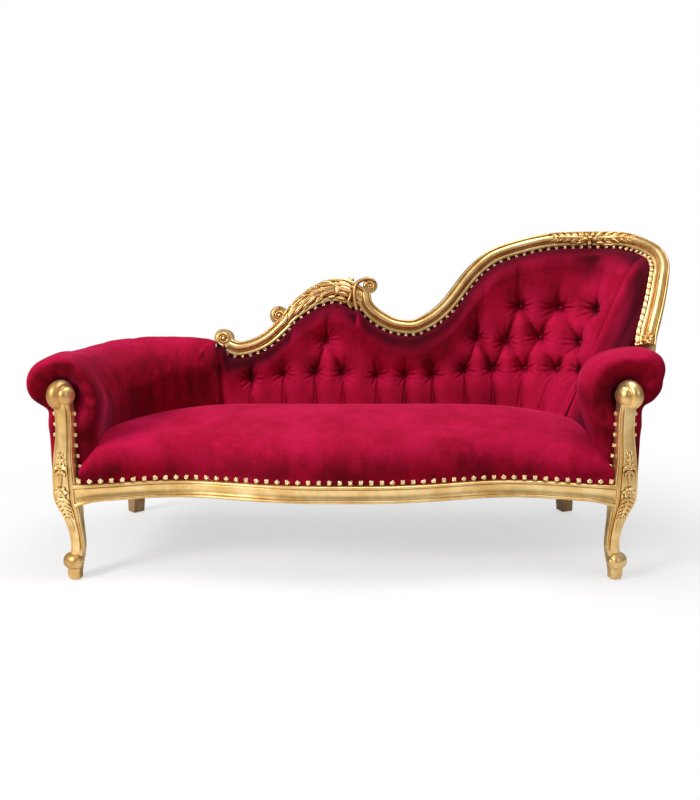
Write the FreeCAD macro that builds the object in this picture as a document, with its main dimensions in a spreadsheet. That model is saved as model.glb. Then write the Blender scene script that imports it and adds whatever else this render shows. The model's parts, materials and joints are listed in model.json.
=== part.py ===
import FreeCAD, Part
import Sketcher
import math
import os

# Chaise longue with a carved and gilded show-wood frame and crimson velvet upholstery.
# Millimetres. X runs along the seat, with the high head end at +X, Y runs from front to back, Z is up.
# Shapes are laid out from the middle between the front feet and from their toes; each piece is then
# placed so that the origin lies on the floor under the middle of the whole.

Vec = FreeCAD.Vector

# Driving dimensions
SIZES = {
    "origin_from_leg_middle": 63.4,
    "origin_from_toe": 318.9,
    "leg_span": 1530,
    "head_height": 976,
    "rail_bottom": 232,
    "rail_height": 50,
    "rebate_height": 18,
    "rebate_depth": 10,
    "rail_bead": 6,
    "rail_cove": 5,
    "front_rail_back": 75,
    "rail_reach": 34,
    "rail_end_reach": 18,
    "serpentine_depth": 60,
    "spandrel_drop": 22,
    "frame_lift": 6,
    "frame_rail_thickness": 34,
    "cover_thickness": 3,
    "fit_gap": 0.3,
    "soft_gap": 0.5,
    "crest_gap": 1.2,
    "body_overhang": 65,
    "back_reach": 636,
    "left_corner_radius": 238,
    "right_corner_radius": 172,
    "left_arm_depth": 124,
    "right_arm_depth": 118,
    "left_sweep_share": 0.7435,
    "right_sweep_share": 0.4647,
    "crest_depth": 61,
    "seat_edge": 398,
    "seat_crown": 442,
    "seat_set_back": 12,
    "velvet_layer": 6,
    "back_rake": 6.5,
    "outside_back_slope": 3.4,
    "pad_thickness": 70,
    "pad_edge": 8,
    "pad_proud": 37,
    "tuft_depth": 20,
    "tuft_crown": 16,
    "button_radius": 9,
    "button_height": 7,
    "crest_width": 52,
    "crest_roll": 15,
    "crest_fillet": 12,
    "tack_strip": 11,
    "stile_thickness": 38,
    "leaf_rail_width": 62,
    "volute_radius": 29,
    "curl_radius": 31,
    "volute_relief": 7,
    "leg_block": 64,
    "leg_turn": 28,
    "knob_radius": 42,
    "knob_length": 64,
    "knob_eye_radius": 18,
    "knob_eye_height": 7,
    "foot_scroll_radius": 23,
    "foot_scroll_length": 52,
    "foot_scroll_height": 54,
    "glide_radius": 11,
    "glide_height": 3,
    "rear_leg_top": 51,
    "rear_leg_foot": 40,
    "rear_leg_rake": 86,
    "rear_leg_splay": 32,
    "knob_share": 0.54406,
    "arm_void_share": 0.8956,
    "outside_cover_share": 0.7633,
    "bearer_spread_share": 0.17,
    "left_arm_share": 0.6578,
    "right_arm_share": 0.6609,
    "left_roll_width": 185,
    "right_roll_width": 178,
    "arm_wall": 34,
    "arm_start": 70,
    "arm_face": 14,
    "arm_board_thickness": 24,
    "upright_width": 44,
    "upright_thickness": 26,
    "right_arm_end": 170,
    "arm_lip": 8,
    "bearer_width": 32,
    "bearer_height": 44,
    "block_reach": 62,
    "webbing_width": 50,
    "webbing_thickness": 2,
    "webbing_pitch": 100,
    "long_webbing_pitch": 70,
    "webbing_lap": 10,
    "hessian_thickness": 1,
    "dust_cover_thickness": 1,
    "bolt_radius": 4,
    "bolt_length": 90,
    "nail_radius": 5,
    "nail_height": 3.5,
    "rail_nail_pitch": 28.6,
    "crest_nail_pitch": 26,
    "overrun": 20,
}

# Sizes that follow from the ones above, as formulas in the same sheet
LINKED_SIZES = {
    "body_half_width": "=leg_span / 2 + body_overhang",
    "left_seat_x": "=body_half_width - left_arm_depth",
    "right_seat_x": "=body_half_width - right_arm_depth",
    "crest_reach": "=back_reach - crest_depth",
    "seat_back": "=crest_reach - pad_proud",
    "left_seat_radius": "=seat_back * left_sweep_share",
    "right_seat_radius": "=seat_back * right_sweep_share",
    "left_arm_top": "=head_height * left_arm_share",
    "right_arm_top": "=head_height * right_arm_share",
    "arm_void_top": "=left_arm_top * arm_void_share",
    "outside_cover_top": "=left_arm_top * outside_cover_share",
    "knob_height": "=head_height * knob_share",
    "bearer_spread": "=leg_span * bearer_spread_share",
}

doc = FreeCAD.newDocument("chaise_longue")
sheet = doc.addObject("Spreadsheet::Sheet", "sizes")
for row, (name, value) in enumerate(list(SIZES.items()) + list(LINKED_SIZES.items()), start=1):
    sheet.set("A%d" % row, name)
    sheet.set("B%d" % row, str(value))
    sheet.setAlias("B%d" % row, name)
doc.recompute()


class Sizes:
    # Reads a driving dimension from the sheet by its alias.
    def __getattr__(self, name):
        return float(sheet.get(name))


size = Sizes()
pieces = []


# Helpers for placing and lofting

def add_feature(label, shape):
    feature = doc.addObject("Part::Feature", label)
    feature.Label = label
    feature.Shape = shape
    feature.Placement = FreeCAD.Placement(
        Vec(-size.origin_from_leg_middle, -size.origin_from_toe, 0), FreeCAD.Rotation())
    pieces.append(feature)
    return shape


def line(start, end):
    return Part.makeLine(start, end)


def arc(start, middle, end):
    return Part.Arc(start, middle, end).toShape()


def sampled(edges, arc_steps):
    # The corners of a closed outline: each line by its start, each arc by even steps along it.
    points = []
    for edge in edges:
        steps = arc_steps if isinstance(edge.Curve, Part.Circle) else 1
        points += edge.discretize(steps + 1)[:-1]
    return points


def flat_face(corners):
    return Part.Face(Part.makePolygon(corners + corners[:1]))


def closed_solid(faces):
    shell = Part.makeShell(faces)
    shell.sewShape()
    solid = Part.Solid(shell)
    if solid.Volume < 0:
        solid.reverse()
    return solid


def skin(rings):
    # Flat triangles between rings of equally many corners, closed by a flat face at each end.
    faces = [flat_face(rings[0]), flat_face(rings[-1])]
    for low, high in zip(rings, rings[1:]):
        for index in range(len(low)):
            after = (index + 1) % len(low)
            for corners in ([low[index], low[after], high[after]], [low[index], high[after], high[index]]):
                if all((corners[turn] - corners[turn - 1]).Length > 0 for turn in range(3)):
                    faces.append(flat_face(corners))
    return closed_solid(faces)


def main_solid(shape):
    # What a cut leaves, without slivers.
    return max(shape.Solids, key=lambda solid: solid.Volume)


def polygon_prism(points, bottom, top):
    corners = [Vec(x, y, bottom) for x, y in points]
    face = Part.Face(Part.makePolygon(corners + corners[:1]))
    return face.extrude(Vec(0, 0, top - bottom))


def unit(vector):
    return vector / vector.Length


def blend(start, end, share):
    return start + (end - start) * share


def table_value(rows, at):
    # Straight-line reading of rows of (place, value), held at both ends.
    if at <= rows[0][0]:
        return rows[0][1]
    for (left, low), (right, high) in zip(rows, rows[1:]):
        if at <= right:
            return blend(low, high, (at - left) / (right - left))
    return rows[-1][1]


def smooth_curve(points):
    # A curve through the points that passes them at even steps of its parameter from 0 to 1.
    curve = Part.BSplineCurve()
    steps = len(points) - 1
    curve.interpolate(Points=points, Parameters=[step / steps for step in range(len(points))])
    return curve


def even_steps(count, start=0, end=1):
    return [blend(start, end, step / (count - 1)) for step in range(count)]


# Levels and planes that several pieces share

half_span = size.leg_span / 2
rail_top = size.rail_bottom + size.rail_height
frame_top = rail_top + size.rebate_height
frame_bottom = size.rail_bottom + size.frame_lift
side_x = size.body_half_width
rake = math.radians(size.back_rake)
rake_slope = math.tan(rake)
outside_slope = math.tan(math.radians(size.outside_back_slope))
crest_normal = Vec(0, -math.cos(rake), math.sin(rake))
crest_up = Vec(0, math.sin(rake), math.cos(rake))


def crest_face_y(z):
    return size.crest_reach + (z - size.seat_edge) * rake_slope


def outside_back_y(z):
    return size.back_reach + (z - size.rail_bottom) * outside_slope


# Serpentine front rail: a bow in the middle and a hollow on each side of it

BOW_SHARE = 1.4
SPANDREL_SHARE = 0.88
RAIL_ARC_STEPS = 4
RAIL_STATIONS = 31


def rail_face_y(x):
    share = min(abs(x) / half_span, 1)
    wave = math.sin(math.pi * share ** BOW_SHARE) ** 2
    ends = (size.rail_reach - size.rail_end_reach) * share ** 2
    return -size.rail_reach + ends + size.serpentine_depth * wave


def rail_under_z(x):
    share = max(abs(x) / half_span - SPANDREL_SHARE, 0) / (1 - SPANDREL_SHARE)
    return size.rail_bottom - size.spandrel_drop * share ** 2


def front_rail_section(x):
    face = rail_face_y(x)
    low = rail_under_z(x)
    bead = size.rail_bead

    def at(depth, z):
        return Vec(x, face + depth, z)

    back = size.front_rail_back - face
    rebate = size.rebate_depth
    low_bead = low + 2 * bead
    high_bead = rail_top - 2 * bead
    return sampled([
        line(at(back, low), at(bead, low)),
        arc(at(bead, low), at(0, low + bead), at(bead / 2, low_bead)),
        arc(at(bead / 2, low_bead), at(size.rail_cove + bead / 2, (low_bead + high_bead) / 2),
            at(bead / 2, high_bead)),
        arc(at(bead / 2, high_bead), at(0, rail_top - bead), at(bead, rail_top)),
        line(at(bead, rail_top), at(rebate, rail_top)),
        line(at(rebate, rail_top), at(rebate, frame_top)),
        line(at(rebate, frame_top), at(back, frame_top)),
        line(at(back, frame_top), at(back, low)),
    ], RAIL_ARC_STEPS)


# Front legs, each one carved piece from the foot to the scroll that ends the arm

LEG_PLACE_SHARES = [
    # height share of the knob's, outward share of the block, forward share, width share
    (0.006, 0.03, 0.22, 0.49),
    (0.060, 0.04, 0.25, 0.57),
    (0.150, -0.09, 0.36, 0.57),
    (0.225, -0.11, 0.38, 0.57),
    (0.285, -0.07, 0.32, 0.62),
    (0.340, -0.02, 0.22, 0.72),
    (0.390, 0.06, 0.19, 0.86),
    (0.424, 0.19, 0.18, 1.00),
    (0.565, 0.19, 0.18, 1.00),
    (0.610, 0.20, 0.17, 0.93),
    (0.665, 0.19, 0.15, 0.84),
    (0.730, 0.15, 0.14, 0.77),
    (0.820, 0.10, 0.14, 0.70),
    (0.915, 0.10, 0.14, 0.71),
    (0.985, 0.14, 0.10, 0.72),
]
BLOCK_PLACE_SHARES = (0.19, 0.18)
BLOCK_TOP_SHARE = 0.565
LEG_ROUND_SHARE = 0.2
LEG_ARC_STEPS = 2
turn = math.radians(size.leg_turn)


def leg_axes(side):
    # The inner side face points inward and a little forward, the main face forward and outward.
    inner = Vec(-side * math.cos(turn), -math.sin(turn), 0)
    main = Vec(side * math.sin(turn), -math.cos(turn), 0)
    return inner, main


def leg_centre(side, outward_share, back_share, z):
    return Vec(side * (half_span + outward_share * size.leg_block), back_share * size.leg_block, z)


def rounded_square(centre, across, forward, width, spare=0):
    # Four straight sides and four round corners, in the plane of the two directions.
    half = width / 2 + spare
    straight = half - width * LEG_ROUND_SHARE
    bevel = half - width * LEG_ROUND_SHARE * (1 - math.cos(math.pi / 4))
    sides = [across, forward, across * -1, forward * -1]
    edges = []
    for index, ahead in enumerate(sides):
        left = sides[(index + 1) % 4]
        end = centre + ahead * straight + left * half
        edges.append(arc(centre + ahead * half + left * straight, centre + (ahead + left) * bevel, end))
        edges.append(line(end, centre + left * half - ahead * straight))
    return sampled(edges, LEG_ARC_STEPS)


def leg_height(share):
    # Up to the rails the leg keeps their height; above them it reaches for the knob.
    if share <= BLOCK_TOP_SHARE:
        return frame_top * share / BLOCK_TOP_SHARE
    return blend(frame_top, size.knob_height, (share - BLOCK_TOP_SHARE) / (1 - BLOCK_TOP_SHARE))


def leg_shaft(side, spare=0):
    inner, main = leg_axes(side)
    sections = []
    for height_share, outward, back, width_share in LEG_PLACE_SHARES:
        z = leg_height(height_share)
        centre = leg_centre(side, outward, back, z)
        sections.append(rounded_square(centre, inner, main, width_share * size.leg_block, spare))
    return skin(sections)


def barrel(centre, axis, radius, length):
    return Part.makeCylinder(radius, length, centre - axis * (length / 2), axis)


KNOB_OUTWARD_SHARE = 0.22
FOOT_OUTWARD_SHARE = 0.08
FOOT_BACK_SHARE = 0.16


def knob_centre(side):
    return leg_centre(side, KNOB_OUTWARD_SHARE, 0.12, size.knob_height)


def front_leg(side, spare=0):
    inner, main = leg_axes(side)
    knob = barrel(knob_centre(side), inner, size.knob_radius + spare, size.knob_length + 2 * spare)
    eye_base = knob_centre(side) + inner * (size.knob_length / 2)
    eye = Part.makeCone(size.knob_eye_radius + spare, size.knob_eye_radius / 2 + spare,
                        size.knob_eye_height + spare, eye_base, inner)
    foot = barrel(leg_centre(side, FOOT_OUTWARD_SHARE, FOOT_BACK_SHARE, size.foot_scroll_height),
                  inner, size.foot_scroll_radius + spare, size.foot_scroll_length + 2 * spare)
    sole_trim = Part.makeBox(size.leg_span, size.leg_span, size.overrun,
                             Vec(-side_x - size.overrun, -size.leg_span / 2, size.glide_height - size.overrun))
    if side > 0:
        sole_trim.translate(Vec(size.overrun, 0, 0))
    return leg_shaft(side, spare).fuse([knob, eye, foot]).cut(sole_trim).removeSplitter()


for side, name in ((-1, "left_front_leg"), (1, "right_front_leg")):
    add_feature(name, front_leg(side))


def block_corner(side, across, forward):
    # A corner of the square block where the rails meet the leg.
    inner, main = leg_axes(side)
    half = size.leg_block / 2
    centre = leg_centre(side, BLOCK_PLACE_SHARES[0], BLOCK_PLACE_SHARES[1], 0)
    return centre + inner * (across * half) + main * (forward * half)


def end_plane_x(side, y):
    # Where the plane of the block's inner face crosses the given depth.
    inner, main = leg_axes(side)
    face = block_corner(side, 1, 0)
    return face.x - (y - face.y) * inner.y / inner.x


def station_x(share, y):
    # The sections turn gradually, so that both ends lie flat against the legs.
    return blend(end_plane_x(-1, y), end_plane_x(1, y), share)


def front_rail():
    rings = []
    for share in even_steps(RAIL_STATIONS):
        section = front_rail_section(blend(-half_span, half_span, share))
        rings.append([Vec(station_x(share, point.y), point.y, point.z) for point in section])
    return main_solid(skin(rings).cut([front_leg(-1), front_leg(1)]))


def rebate_line():
    # Where the velvet is tacked: the face of the rebate along the top of the rail.
    places = []
    for share in even_steps(RAIL_STATIONS):
        y = rail_face_y(blend(-half_span, half_span, share)) + size.rebate_depth
        places.append((station_x(share, y), y))
    return places


add_feature("front_rail", front_rail())


# Hidden seat frame: rails behind the covers

cover_inside = size.cover_thickness + size.soft_gap
rail_outer_x = side_x - cover_inside
back_outer = size.back_reach - cover_inside
rail_inner_x = rail_outer_x - size.frame_rail_thickness
frame_height = frame_top - frame_bottom


TOP = "(sizes.rail_bottom + sizes.rail_height + sizes.rebate_height)"
BOTTOM = "(sizes.rail_bottom + sizes.frame_lift)"
FRAME_HEIGHT = "(sizes.rail_height + sizes.rebate_height - sizes.frame_lift)"
INSIDE_COVER = "(sizes.cover_thickness + sizes.soft_gap)"
SHIFT_X = " - sizes.origin_from_leg_middle"
SHIFT_Y = " - sizes.origin_from_toe"


def timber_body(label, corner, across, deep, high):
    # One squared length of timber: a rectangle drawn on the ground plane and padded up.
    body = doc.addObject("PartDesign::Body", label)
    body.Label = label
    plane = [item for item in body.Origin.OriginFeatures if item.Role == "XY_Plane"][0]
    sketch = body.newObject("Sketcher::SketchObject", label + "_outline")
    sketch.AttachmentSupport = (plane, [""])
    sketch.MapMode = "FlatFace"
    far = size.frame_rail_thickness
    corners = [Vec(0, 0, 0), Vec(far, 0, 0), Vec(far, far, 0), Vec(0, far, 0)]
    for index in range(4):
        sketch.addGeometry(Part.LineSegment(corners[index], corners[(index + 1) % 4]))
    for index in range(4):
        sketch.addConstraint(Sketcher.Constraint("Coincident", index, 2, (index + 1) % 4, 1))
    for index in (0, 2):
        sketch.addConstraint(Sketcher.Constraint("Horizontal", index))
        sketch.addConstraint(Sketcher.Constraint("Vertical", index + 1))
    sketch.addConstraint(Sketcher.Constraint("Coincident", 0, 1, -1, 1))
    width = sketch.addConstraint(Sketcher.Constraint("DistanceX", 0, 1, 0, 2, far))
    depth = sketch.addConstraint(Sketcher.Constraint("DistanceY", 1, 1, 1, 2, far))
    sketch.setExpression("Constraints[%d]" % width, across)
    sketch.setExpression("Constraints[%d]" % depth, deep)
    pad = body.newObject("PartDesign::Pad", label + "_length")
    pad.Profile = sketch
    pad.setExpression("Length", high)
    body.setExpression("Placement.Base.x", corner[0] + SHIFT_X)
    body.setExpression("Placement.Base.y", corner[1] + SHIFT_Y)
    body.setExpression("Placement.Base.z", corner[2])
    pieces.append(body)


def box(name, corner, across, deep, high, tilt=0):
    # A plain block bound to the sheet, tilted back about its lower front edge where asked.
    block = doc.addObject("Part::Box", name)
    block.Placement = FreeCAD.Placement(Vec(0, 0, 0), FreeCAD.Rotation(Vec(1, 0, 0), -tilt))
    block.setExpression("Length", across)
    block.setExpression("Width", deep)
    block.setExpression("Height", high)
    block.setExpression("Placement.Base.x", corner[0] + SHIFT_X)
    block.setExpression("Placement.Base.y", corner[1] + SHIFT_Y)
    block.setExpression("Placement.Base.z", corner[2])
    return block


def group(label, members):
    bundle = doc.addObject("Part::Compound", label)
    bundle.Label = label
    bundle.Links = members
    pieces.append(bundle)


side_front = "sizes.front_rail_back - sizes.overrun"
side_length = "sizes.back_reach - sizes.%s_corner_radius - sizes.front_rail_back + sizes.overrun"
timber_body("left_side_rail",
            ("-sizes.body_half_width + " + INSIDE_COVER, side_front, BOTTOM),
            "sizes.frame_rail_thickness", side_length % "left", FRAME_HEIGHT)
timber_body("right_side_rail",
            ("sizes.body_half_width - sizes.frame_rail_thickness - " + INSIDE_COVER, side_front, BOTTOM),
            "sizes.frame_rail_thickness", side_length % "right", FRAME_HEIGHT)
timber_body("back_rail",
            ("-sizes.body_half_width + sizes.left_corner_radius",
             "sizes.back_reach - sizes.frame_rail_thickness - " + INSIDE_COVER, BOTTOM),
            "2 * sizes.body_half_width - sizes.left_corner_radius - sizes.right_corner_radius",
            "sizes.frame_rail_thickness", FRAME_HEIGHT)


def corner_ring(side, radius, outside, inside, bottom, top):
    # A quarter of a ring round a rear corner, between two insets from the outline.
    centre = Vec(side * (side_x - radius), size.back_reach - radius, bottom)
    outer = radius - outside
    inner = radius - inside
    diagonal = math.sqrt(0.5)
    face = Part.Face(Part.Wire([
        arc(centre + Vec(side * outer, 0, 0), centre + Vec(side * outer * diagonal, outer * diagonal, 0),
            centre + Vec(0, outer, 0)),
        line(centre + Vec(0, outer, 0), centre + Vec(0, inner, 0)),
        arc(centre + Vec(0, inner, 0), centre + Vec(side * inner * diagonal, inner * diagonal, 0),
            centre + Vec(side * inner, 0, 0)),
        line(centre + Vec(side * inner, 0, 0), centre + Vec(side * outer, 0, 0)),
    ]))
    return face.extrude(Vec(0, 0, top - bottom))


def corner_radius(side):
    return size.left_corner_radius if side < 0 else size.right_corner_radius


# Rear legs: square, tapered and raked, bolted up under the corners

LEFT_LEG_ANGLE_SHARE = 0.585
RIGHT_LEG_ANGLE_SHARE = 0.548
LEFT_LEG_TWIST = 45
RIGHT_LEG_TWIST = 20


def rear_leg_share(side):
    return LEFT_LEG_ANGLE_SHARE if side < 0 else RIGHT_LEG_ANGLE_SHARE


def rear_leg_top(side):
    radius = corner_radius(side)
    angle = math.pi / 2 * rear_leg_share(side)
    reach = radius - cover_inside - size.frame_rail_thickness
    return Vec(side * (side_x - radius + reach * math.cos(angle)),
               size.back_reach - radius + reach * math.sin(angle), frame_bottom)


def turned_square(centre, width, twist):
    corners = []
    for quarter in range(4):
        angle = math.radians(45 + 90 * quarter + twist)
        corners.append(centre + Vec(math.cos(angle), math.sin(angle), 0) * (width * math.sqrt(0.5)))
    return corners


def rear_leg(side, twist):
    top = rear_leg_top(side)
    foot = top + Vec(side * size.rear_leg_splay, size.rear_leg_rake, size.glide_height - frame_bottom)
    return skin([turned_square(foot, size.rear_leg_foot, twist),
                 turned_square(top, size.rear_leg_top, twist)])


def leg_bolt(side, radius, spare=0):
    start = rear_leg_top(side) - Vec(0, 0, size.bolt_length / 3 + spare)
    return Part.makeCylinder(radius, size.bolt_length + 2 * spare, start)


for side, name, twist in ((-1, "left", LEFT_LEG_TWIST), (1, "right", RIGHT_LEG_TWIST)):
    hole = leg_bolt(side, size.bolt_radius + size.fit_gap, size.fit_gap)
    ring = corner_ring(side, corner_radius(side), cover_inside, cover_inside + size.frame_rail_thickness,
                       frame_bottom, frame_top)
    add_feature(name + "_corner_rail", ring.cut(hole))
    add_feature(name + "_rear_leg", rear_leg(side, side * twist).cut(hole))


def rear_block(side):
    # A glue block that fills the corner rail's inner side over the leg.
    radius = corner_radius(side)
    inside = radius - cover_inside - size.frame_rail_thickness
    centre = Vec(side * (side_x - radius), size.back_reach - radius, 0)
    angles = [math.pi / 2 * (rear_leg_share(side) + step) for step in BLOCK_ANGLE_SHARES]
    outer = [centre + Vec(side * math.cos(angle), math.sin(angle), 0) * inside for angle in angles]
    depth = inside - size.frame_rail_thickness
    inner = [centre + Vec(side * math.cos(angle), math.sin(angle), 0) * depth for angle in angles]
    face = Part.Face(Part.Wire([arc(outer[0], outer[1], outer[2]), line(outer[2], inner[2]),
                                line(inner[2], inner[0]), line(inner[0], outer[0])]))
    face.translate(Vec(0, 0, frame_bottom))
    block = face.extrude(Vec(0, 0, frame_height))
    return block.cut(leg_bolt(side, size.bolt_radius + size.fit_gap, size.fit_gap))


BLOCK_ANGLE_SHARES = (-0.24, 0, 0.24)
add_feature("rear_corner_blocks", Part.makeCompound([rear_block(-1), rear_block(1)]))
add_feature("rear_leg_bolts", Part.makeCompound([leg_bolt(side, size.bolt_radius) for side in (-1, 1)]))


def front_block(side):
    # The glue block behind a front leg, shaped to the leg, the front rail and the side rail.
    rail_x = side * rail_inner_x
    inner = block_corner(side, 1, -1)
    outer = block_corner(side, -1, -1)
    lap_x = end_plane_x(side, size.front_rail_back)
    side_y = outer.y - (rail_x - outer.x) * (outer.y - inner.y) / (inner.x - outer.x)
    points = [(inner.x, inner.y), (rail_x, side_y),
              (rail_x, size.front_rail_back + size.block_reach),
              (lap_x - side * size.block_reach, size.front_rail_back), (lap_x, size.front_rail_back)]
    return main_solid(polygon_prism(points, frame_bottom, frame_top).cut(front_leg(side)))


add_feature("front_corner_blocks", Part.makeCompound([front_block(-1), front_block(1)]))

bearer_depth = "sizes.back_reach - sizes.front_rail_back - sizes.frame_rail_thickness - " + INSIDE_COVER
group("seat_bearers", [
    box("bearer_%d" % index,
        ("%d * sizes.bearer_spread - sizes.bearer_width / 2" % index, "sizes.front_rail_back", BOTTOM),
        "sizes.bearer_width", bearer_depth, "sizes.bearer_height")
    for index in (-2, -1, 0, 1, 2)])


# Webbing and hessian that carry the seat

webbing_top = frame_top + size.fit_gap + size.webbing_thickness
crossed_top = webbing_top + size.fit_gap + size.webbing_thickness
platform_top = crossed_top + size.fit_gap + size.hessian_thickness
web_front = size.front_rail_back - size.overrun
web_back = back_outer - size.frame_rail_thickness + size.webbing_lap
strips = []
strip_count = int((2 * size.left_seat_x - size.left_corner_radius) / size.webbing_pitch)
for index in range(strip_count):
    x = (index - (strip_count - 1) / 2) * size.webbing_pitch + size.overrun
    strips.append(Part.makeBox(size.webbing_width, web_back - web_front, size.webbing_thickness,
                               Vec(x - size.webbing_width / 2, web_front, frame_top + size.fit_gap)))
add_feature("seat_webbing", Part.makeCompound(strips))
long_reach = side_x - cover_inside - size.frame_rail_thickness / 2
LONG_WEBBING_START_SHARE = 1.25
strips = []
for index in range(3):
    y = size.front_rail_back + (index + LONG_WEBBING_START_SHARE) * size.long_webbing_pitch
    strips.append(Part.makeBox(2 * long_reach, size.webbing_width, size.webbing_thickness,
                               Vec(-long_reach, y - size.webbing_width / 2, webbing_top + size.fit_gap)))
add_feature("seat_webbing_long", Part.makeCompound(strips))


# Plan of the seat: straight at the arms, a wide sweep at the left corner, a tighter one at the head

left_centre = Vec(size.left_seat_radius - size.left_seat_x, size.seat_back - size.left_seat_radius, 0)
right_centre = Vec(size.right_seat_x - size.right_seat_radius, size.seat_back - size.right_seat_radius, 0)


def seat_back_y(x, inset=0):
    # Depth of the inside of the arms and back at seat level, pulled in by an inset.
    if x < left_centre.x:
        radius = size.left_seat_radius - inset
        return left_centre.y + math.sqrt(max(radius ** 2 - (x - left_centre.x) ** 2, 0))
    if x > right_centre.x:
        radius = size.right_seat_radius - inset
        return right_centre.y + math.sqrt(max(radius ** 2 - (x - right_centre.x) ** 2, 0))
    return size.seat_back - inset


SEAT_PLACE_SHARES = (0, 0.004, 0.018, 0.05, 0.1, 0.16, 0.22, 0.28, 0.34, 0.4, 0.46, 0.52, 0.58, 0.64, 0.7, 0.76,
                     0.82, 0.88, 0.94, 0.98, 0.996, 1)
SHOULDER_SHARE = 0.82
CROWN_PLACE_SHARE = 0.55
END_DROP_POWER = 4
SEAT_ARC_STEPS = 6
FOAM_ARC_STEPS = 4


def seat_points(x, inset, bottom_front, bottom_back):
    # The places that one section of the seat passes, from its lower front edge over the crown to the back.
    front = rail_face_y(x) + size.seat_set_back + inset
    back = seat_back_y(x, size.soft_gap) - inset
    fall = (abs(x) / max(size.left_seat_x, size.right_seat_x)) ** END_DROP_POWER
    crown = blend(size.seat_crown, size.seat_edge, fall) - inset
    shoulder_z = blend(rail_top, crown, SHOULDER_SHARE)
    rise = shoulder_z - frame_top
    shoulder_y = front + rise * SHOULDER_SHARE
    middle_y = blend(shoulder_y, back, CROWN_PLACE_SHARE)
    swell = (front + rise * FRONT_SWELL_SHARES[0], frame_top + rise * FRONT_SWELL_SHARES[1])
    places = [(front, bottom_front), swell,
              (shoulder_y, shoulder_z), (middle_y, crown), (back, size.seat_edge - inset), (back, bottom_back)]
    return [Vec(x, y, z) for y, z in places]


FRONT_SWELL_SHARES = (0.17, 0.66)


def over_edges(points):
    low, swell, shoulder, crown, edge, back_low = points
    return [arc(low, swell, shoulder), arc(shoulder, crown, edge), line(edge, back_low)]


def seat_places():
    left = -size.left_seat_x + size.soft_gap
    right = size.right_seat_x - size.soft_gap
    return [blend(left, right, share) for share in SEAT_PLACE_SHARES]


seat_low = frame_top + size.soft_gap
foam_low = platform_top + size.soft_gap


def cover_section(x):
    # Velvet over wadding: an outer line and an inner line, joined at the two lower edges.
    outer = seat_points(x, 0, seat_low, foam_low)
    inner = seat_points(x, size.velvet_layer, seat_low, foam_low)
    outside = sampled(over_edges(outer), SEAT_ARC_STEPS) + [outer[-1]]
    inside = sampled(over_edges(inner), SEAT_ARC_STEPS) + [inner[-1]]
    return outside + inside[::-1]


def foam_section(x):
    points = seat_points(x, size.velvet_layer + 4 * size.soft_gap, foam_low, foam_low)
    return sampled(over_edges(points) + [line(points[-1], points[0])], FOAM_ARC_STEPS)


add_feature("seat_cover", skin([cover_section(x) for x in seat_places()]))
add_feature("seat_foam", skin([foam_section(x) for x in seat_places()]))


def hessian():
    inset = size.velvet_layer + 2 * size.soft_gap
    places = even_steps(9, -size.left_seat_x + size.webbing_pitch, size.right_seat_x - size.webbing_pitch)
    back = [(x, min(seat_back_y(x, inset), web_back)) for x in reversed(places)]
    front = web_front
    points = [(places[0], front), (places[-1], front)] + back
    return polygon_prism(points, crossed_top + size.fit_gap, platform_top)


add_feature("seat_hessian", hessian())


# Crest: four carved and gilded lengths of moulding and a stile, one after another along the back

def crest_point(x_share, z_share):
    z = z_share * size.head_height
    return Vec(x_share * size.leg_span, crest_face_y(z), z)


SCROLL_RAIL_SHARES = [(-0.2614, 0.6086), (-0.2431, 0.5973), (-0.2222, 0.5994), (-0.1961, 0.6117),
                      (-0.168, 0.6363), (-0.1458, 0.667), (-0.134, 0.6844)]
LEAF_RAIL_SHARES = [(-0.1307, 0.6926), (-0.1124, 0.7234), (-0.0915, 0.751), (-0.0686, 0.7756),
                    (-0.0458, 0.791), (-0.0229, 0.7982), (-0.002, 0.7941), (0.0145, 0.7790)]
LEAF_WIDTH_SHARES = [0.84, 0.97, 1.1, 1.2, 1.32, 1.4, 1.45, 1.42]
SWEEP_RAIL_SHARES = [(0.035, 0.794), (0.0415, 0.75), (0.0600, 0.7172), (0.0830, 0.6937), (0.1078, 0.6773),
                     (0.1412, 0.6711), (0.1634, 0.6783), (0.1856, 0.6957), (0.2078, 0.7203),
                     (0.2294, 0.7531), (0.2484, 0.791), (0.2647, 0.8258), (0.281, 0.8566),
                     (0.2993, 0.8842), (0.3203, 0.9088), (0.3399, 0.9232)]
# place along the seat, depth and height shares, then the direction that the moulding faces
HEAD_SHARES = [
    (0.3399, 1.0000, 0.9232, (0, -1, 0.11)),
    (0.3608, 1.0000, 0.9344, (0, -1, 0.11)),
    (0.4039, 1.0000, 0.9529, (0, -1, 0.11)),
    (0.4484, 1.0000, 0.9662, (0, -1, 0.11)),
    (0.4837, 0.9995, 0.9703, (0, -1, 0.11)),
    (0.5260, 0.9940, 0.9716, (-0.01, -1, 0.11)),
    (0.5656, 0.9754, 0.9716, (-0.03, -1, 0.12)),
    (0.5921, 0.9255, 0.9699, (-0.08, -1, 0.15)),
    (0.6123, 0.8485, 0.9601, (-0.15, -1, 0.2)),
    (0.6254, 0.7562, 0.9450, (-0.2, -0.95, 0.3)),
    (0.6327, 0.6642, 0.9238, (-0.25, -0.9, 0.42)),
    (0.6299, 0.5804, 0.8921, (-0.27, -0.85, 0.5)),
    (0.6193, 0.5119, 0.8585, (-0.27, -0.8, 0.55)),
    (0.6022, 0.4233, 0.8030, (-0.25, -0.78, 0.58)),
    (0.5845, 0.3426, 0.7494, (-0.25, -0.78, 0.58)),
    (0.5694, 0.2763, 0.7049, (-0.25, -0.78, 0.58)),
    (0.5614, 0.2301, 0.6683, (-0.25, -0.78, 0.58)),
]
STILE_START_SHARE = 0.5
CREST_ARC_STEPS = 6


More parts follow.
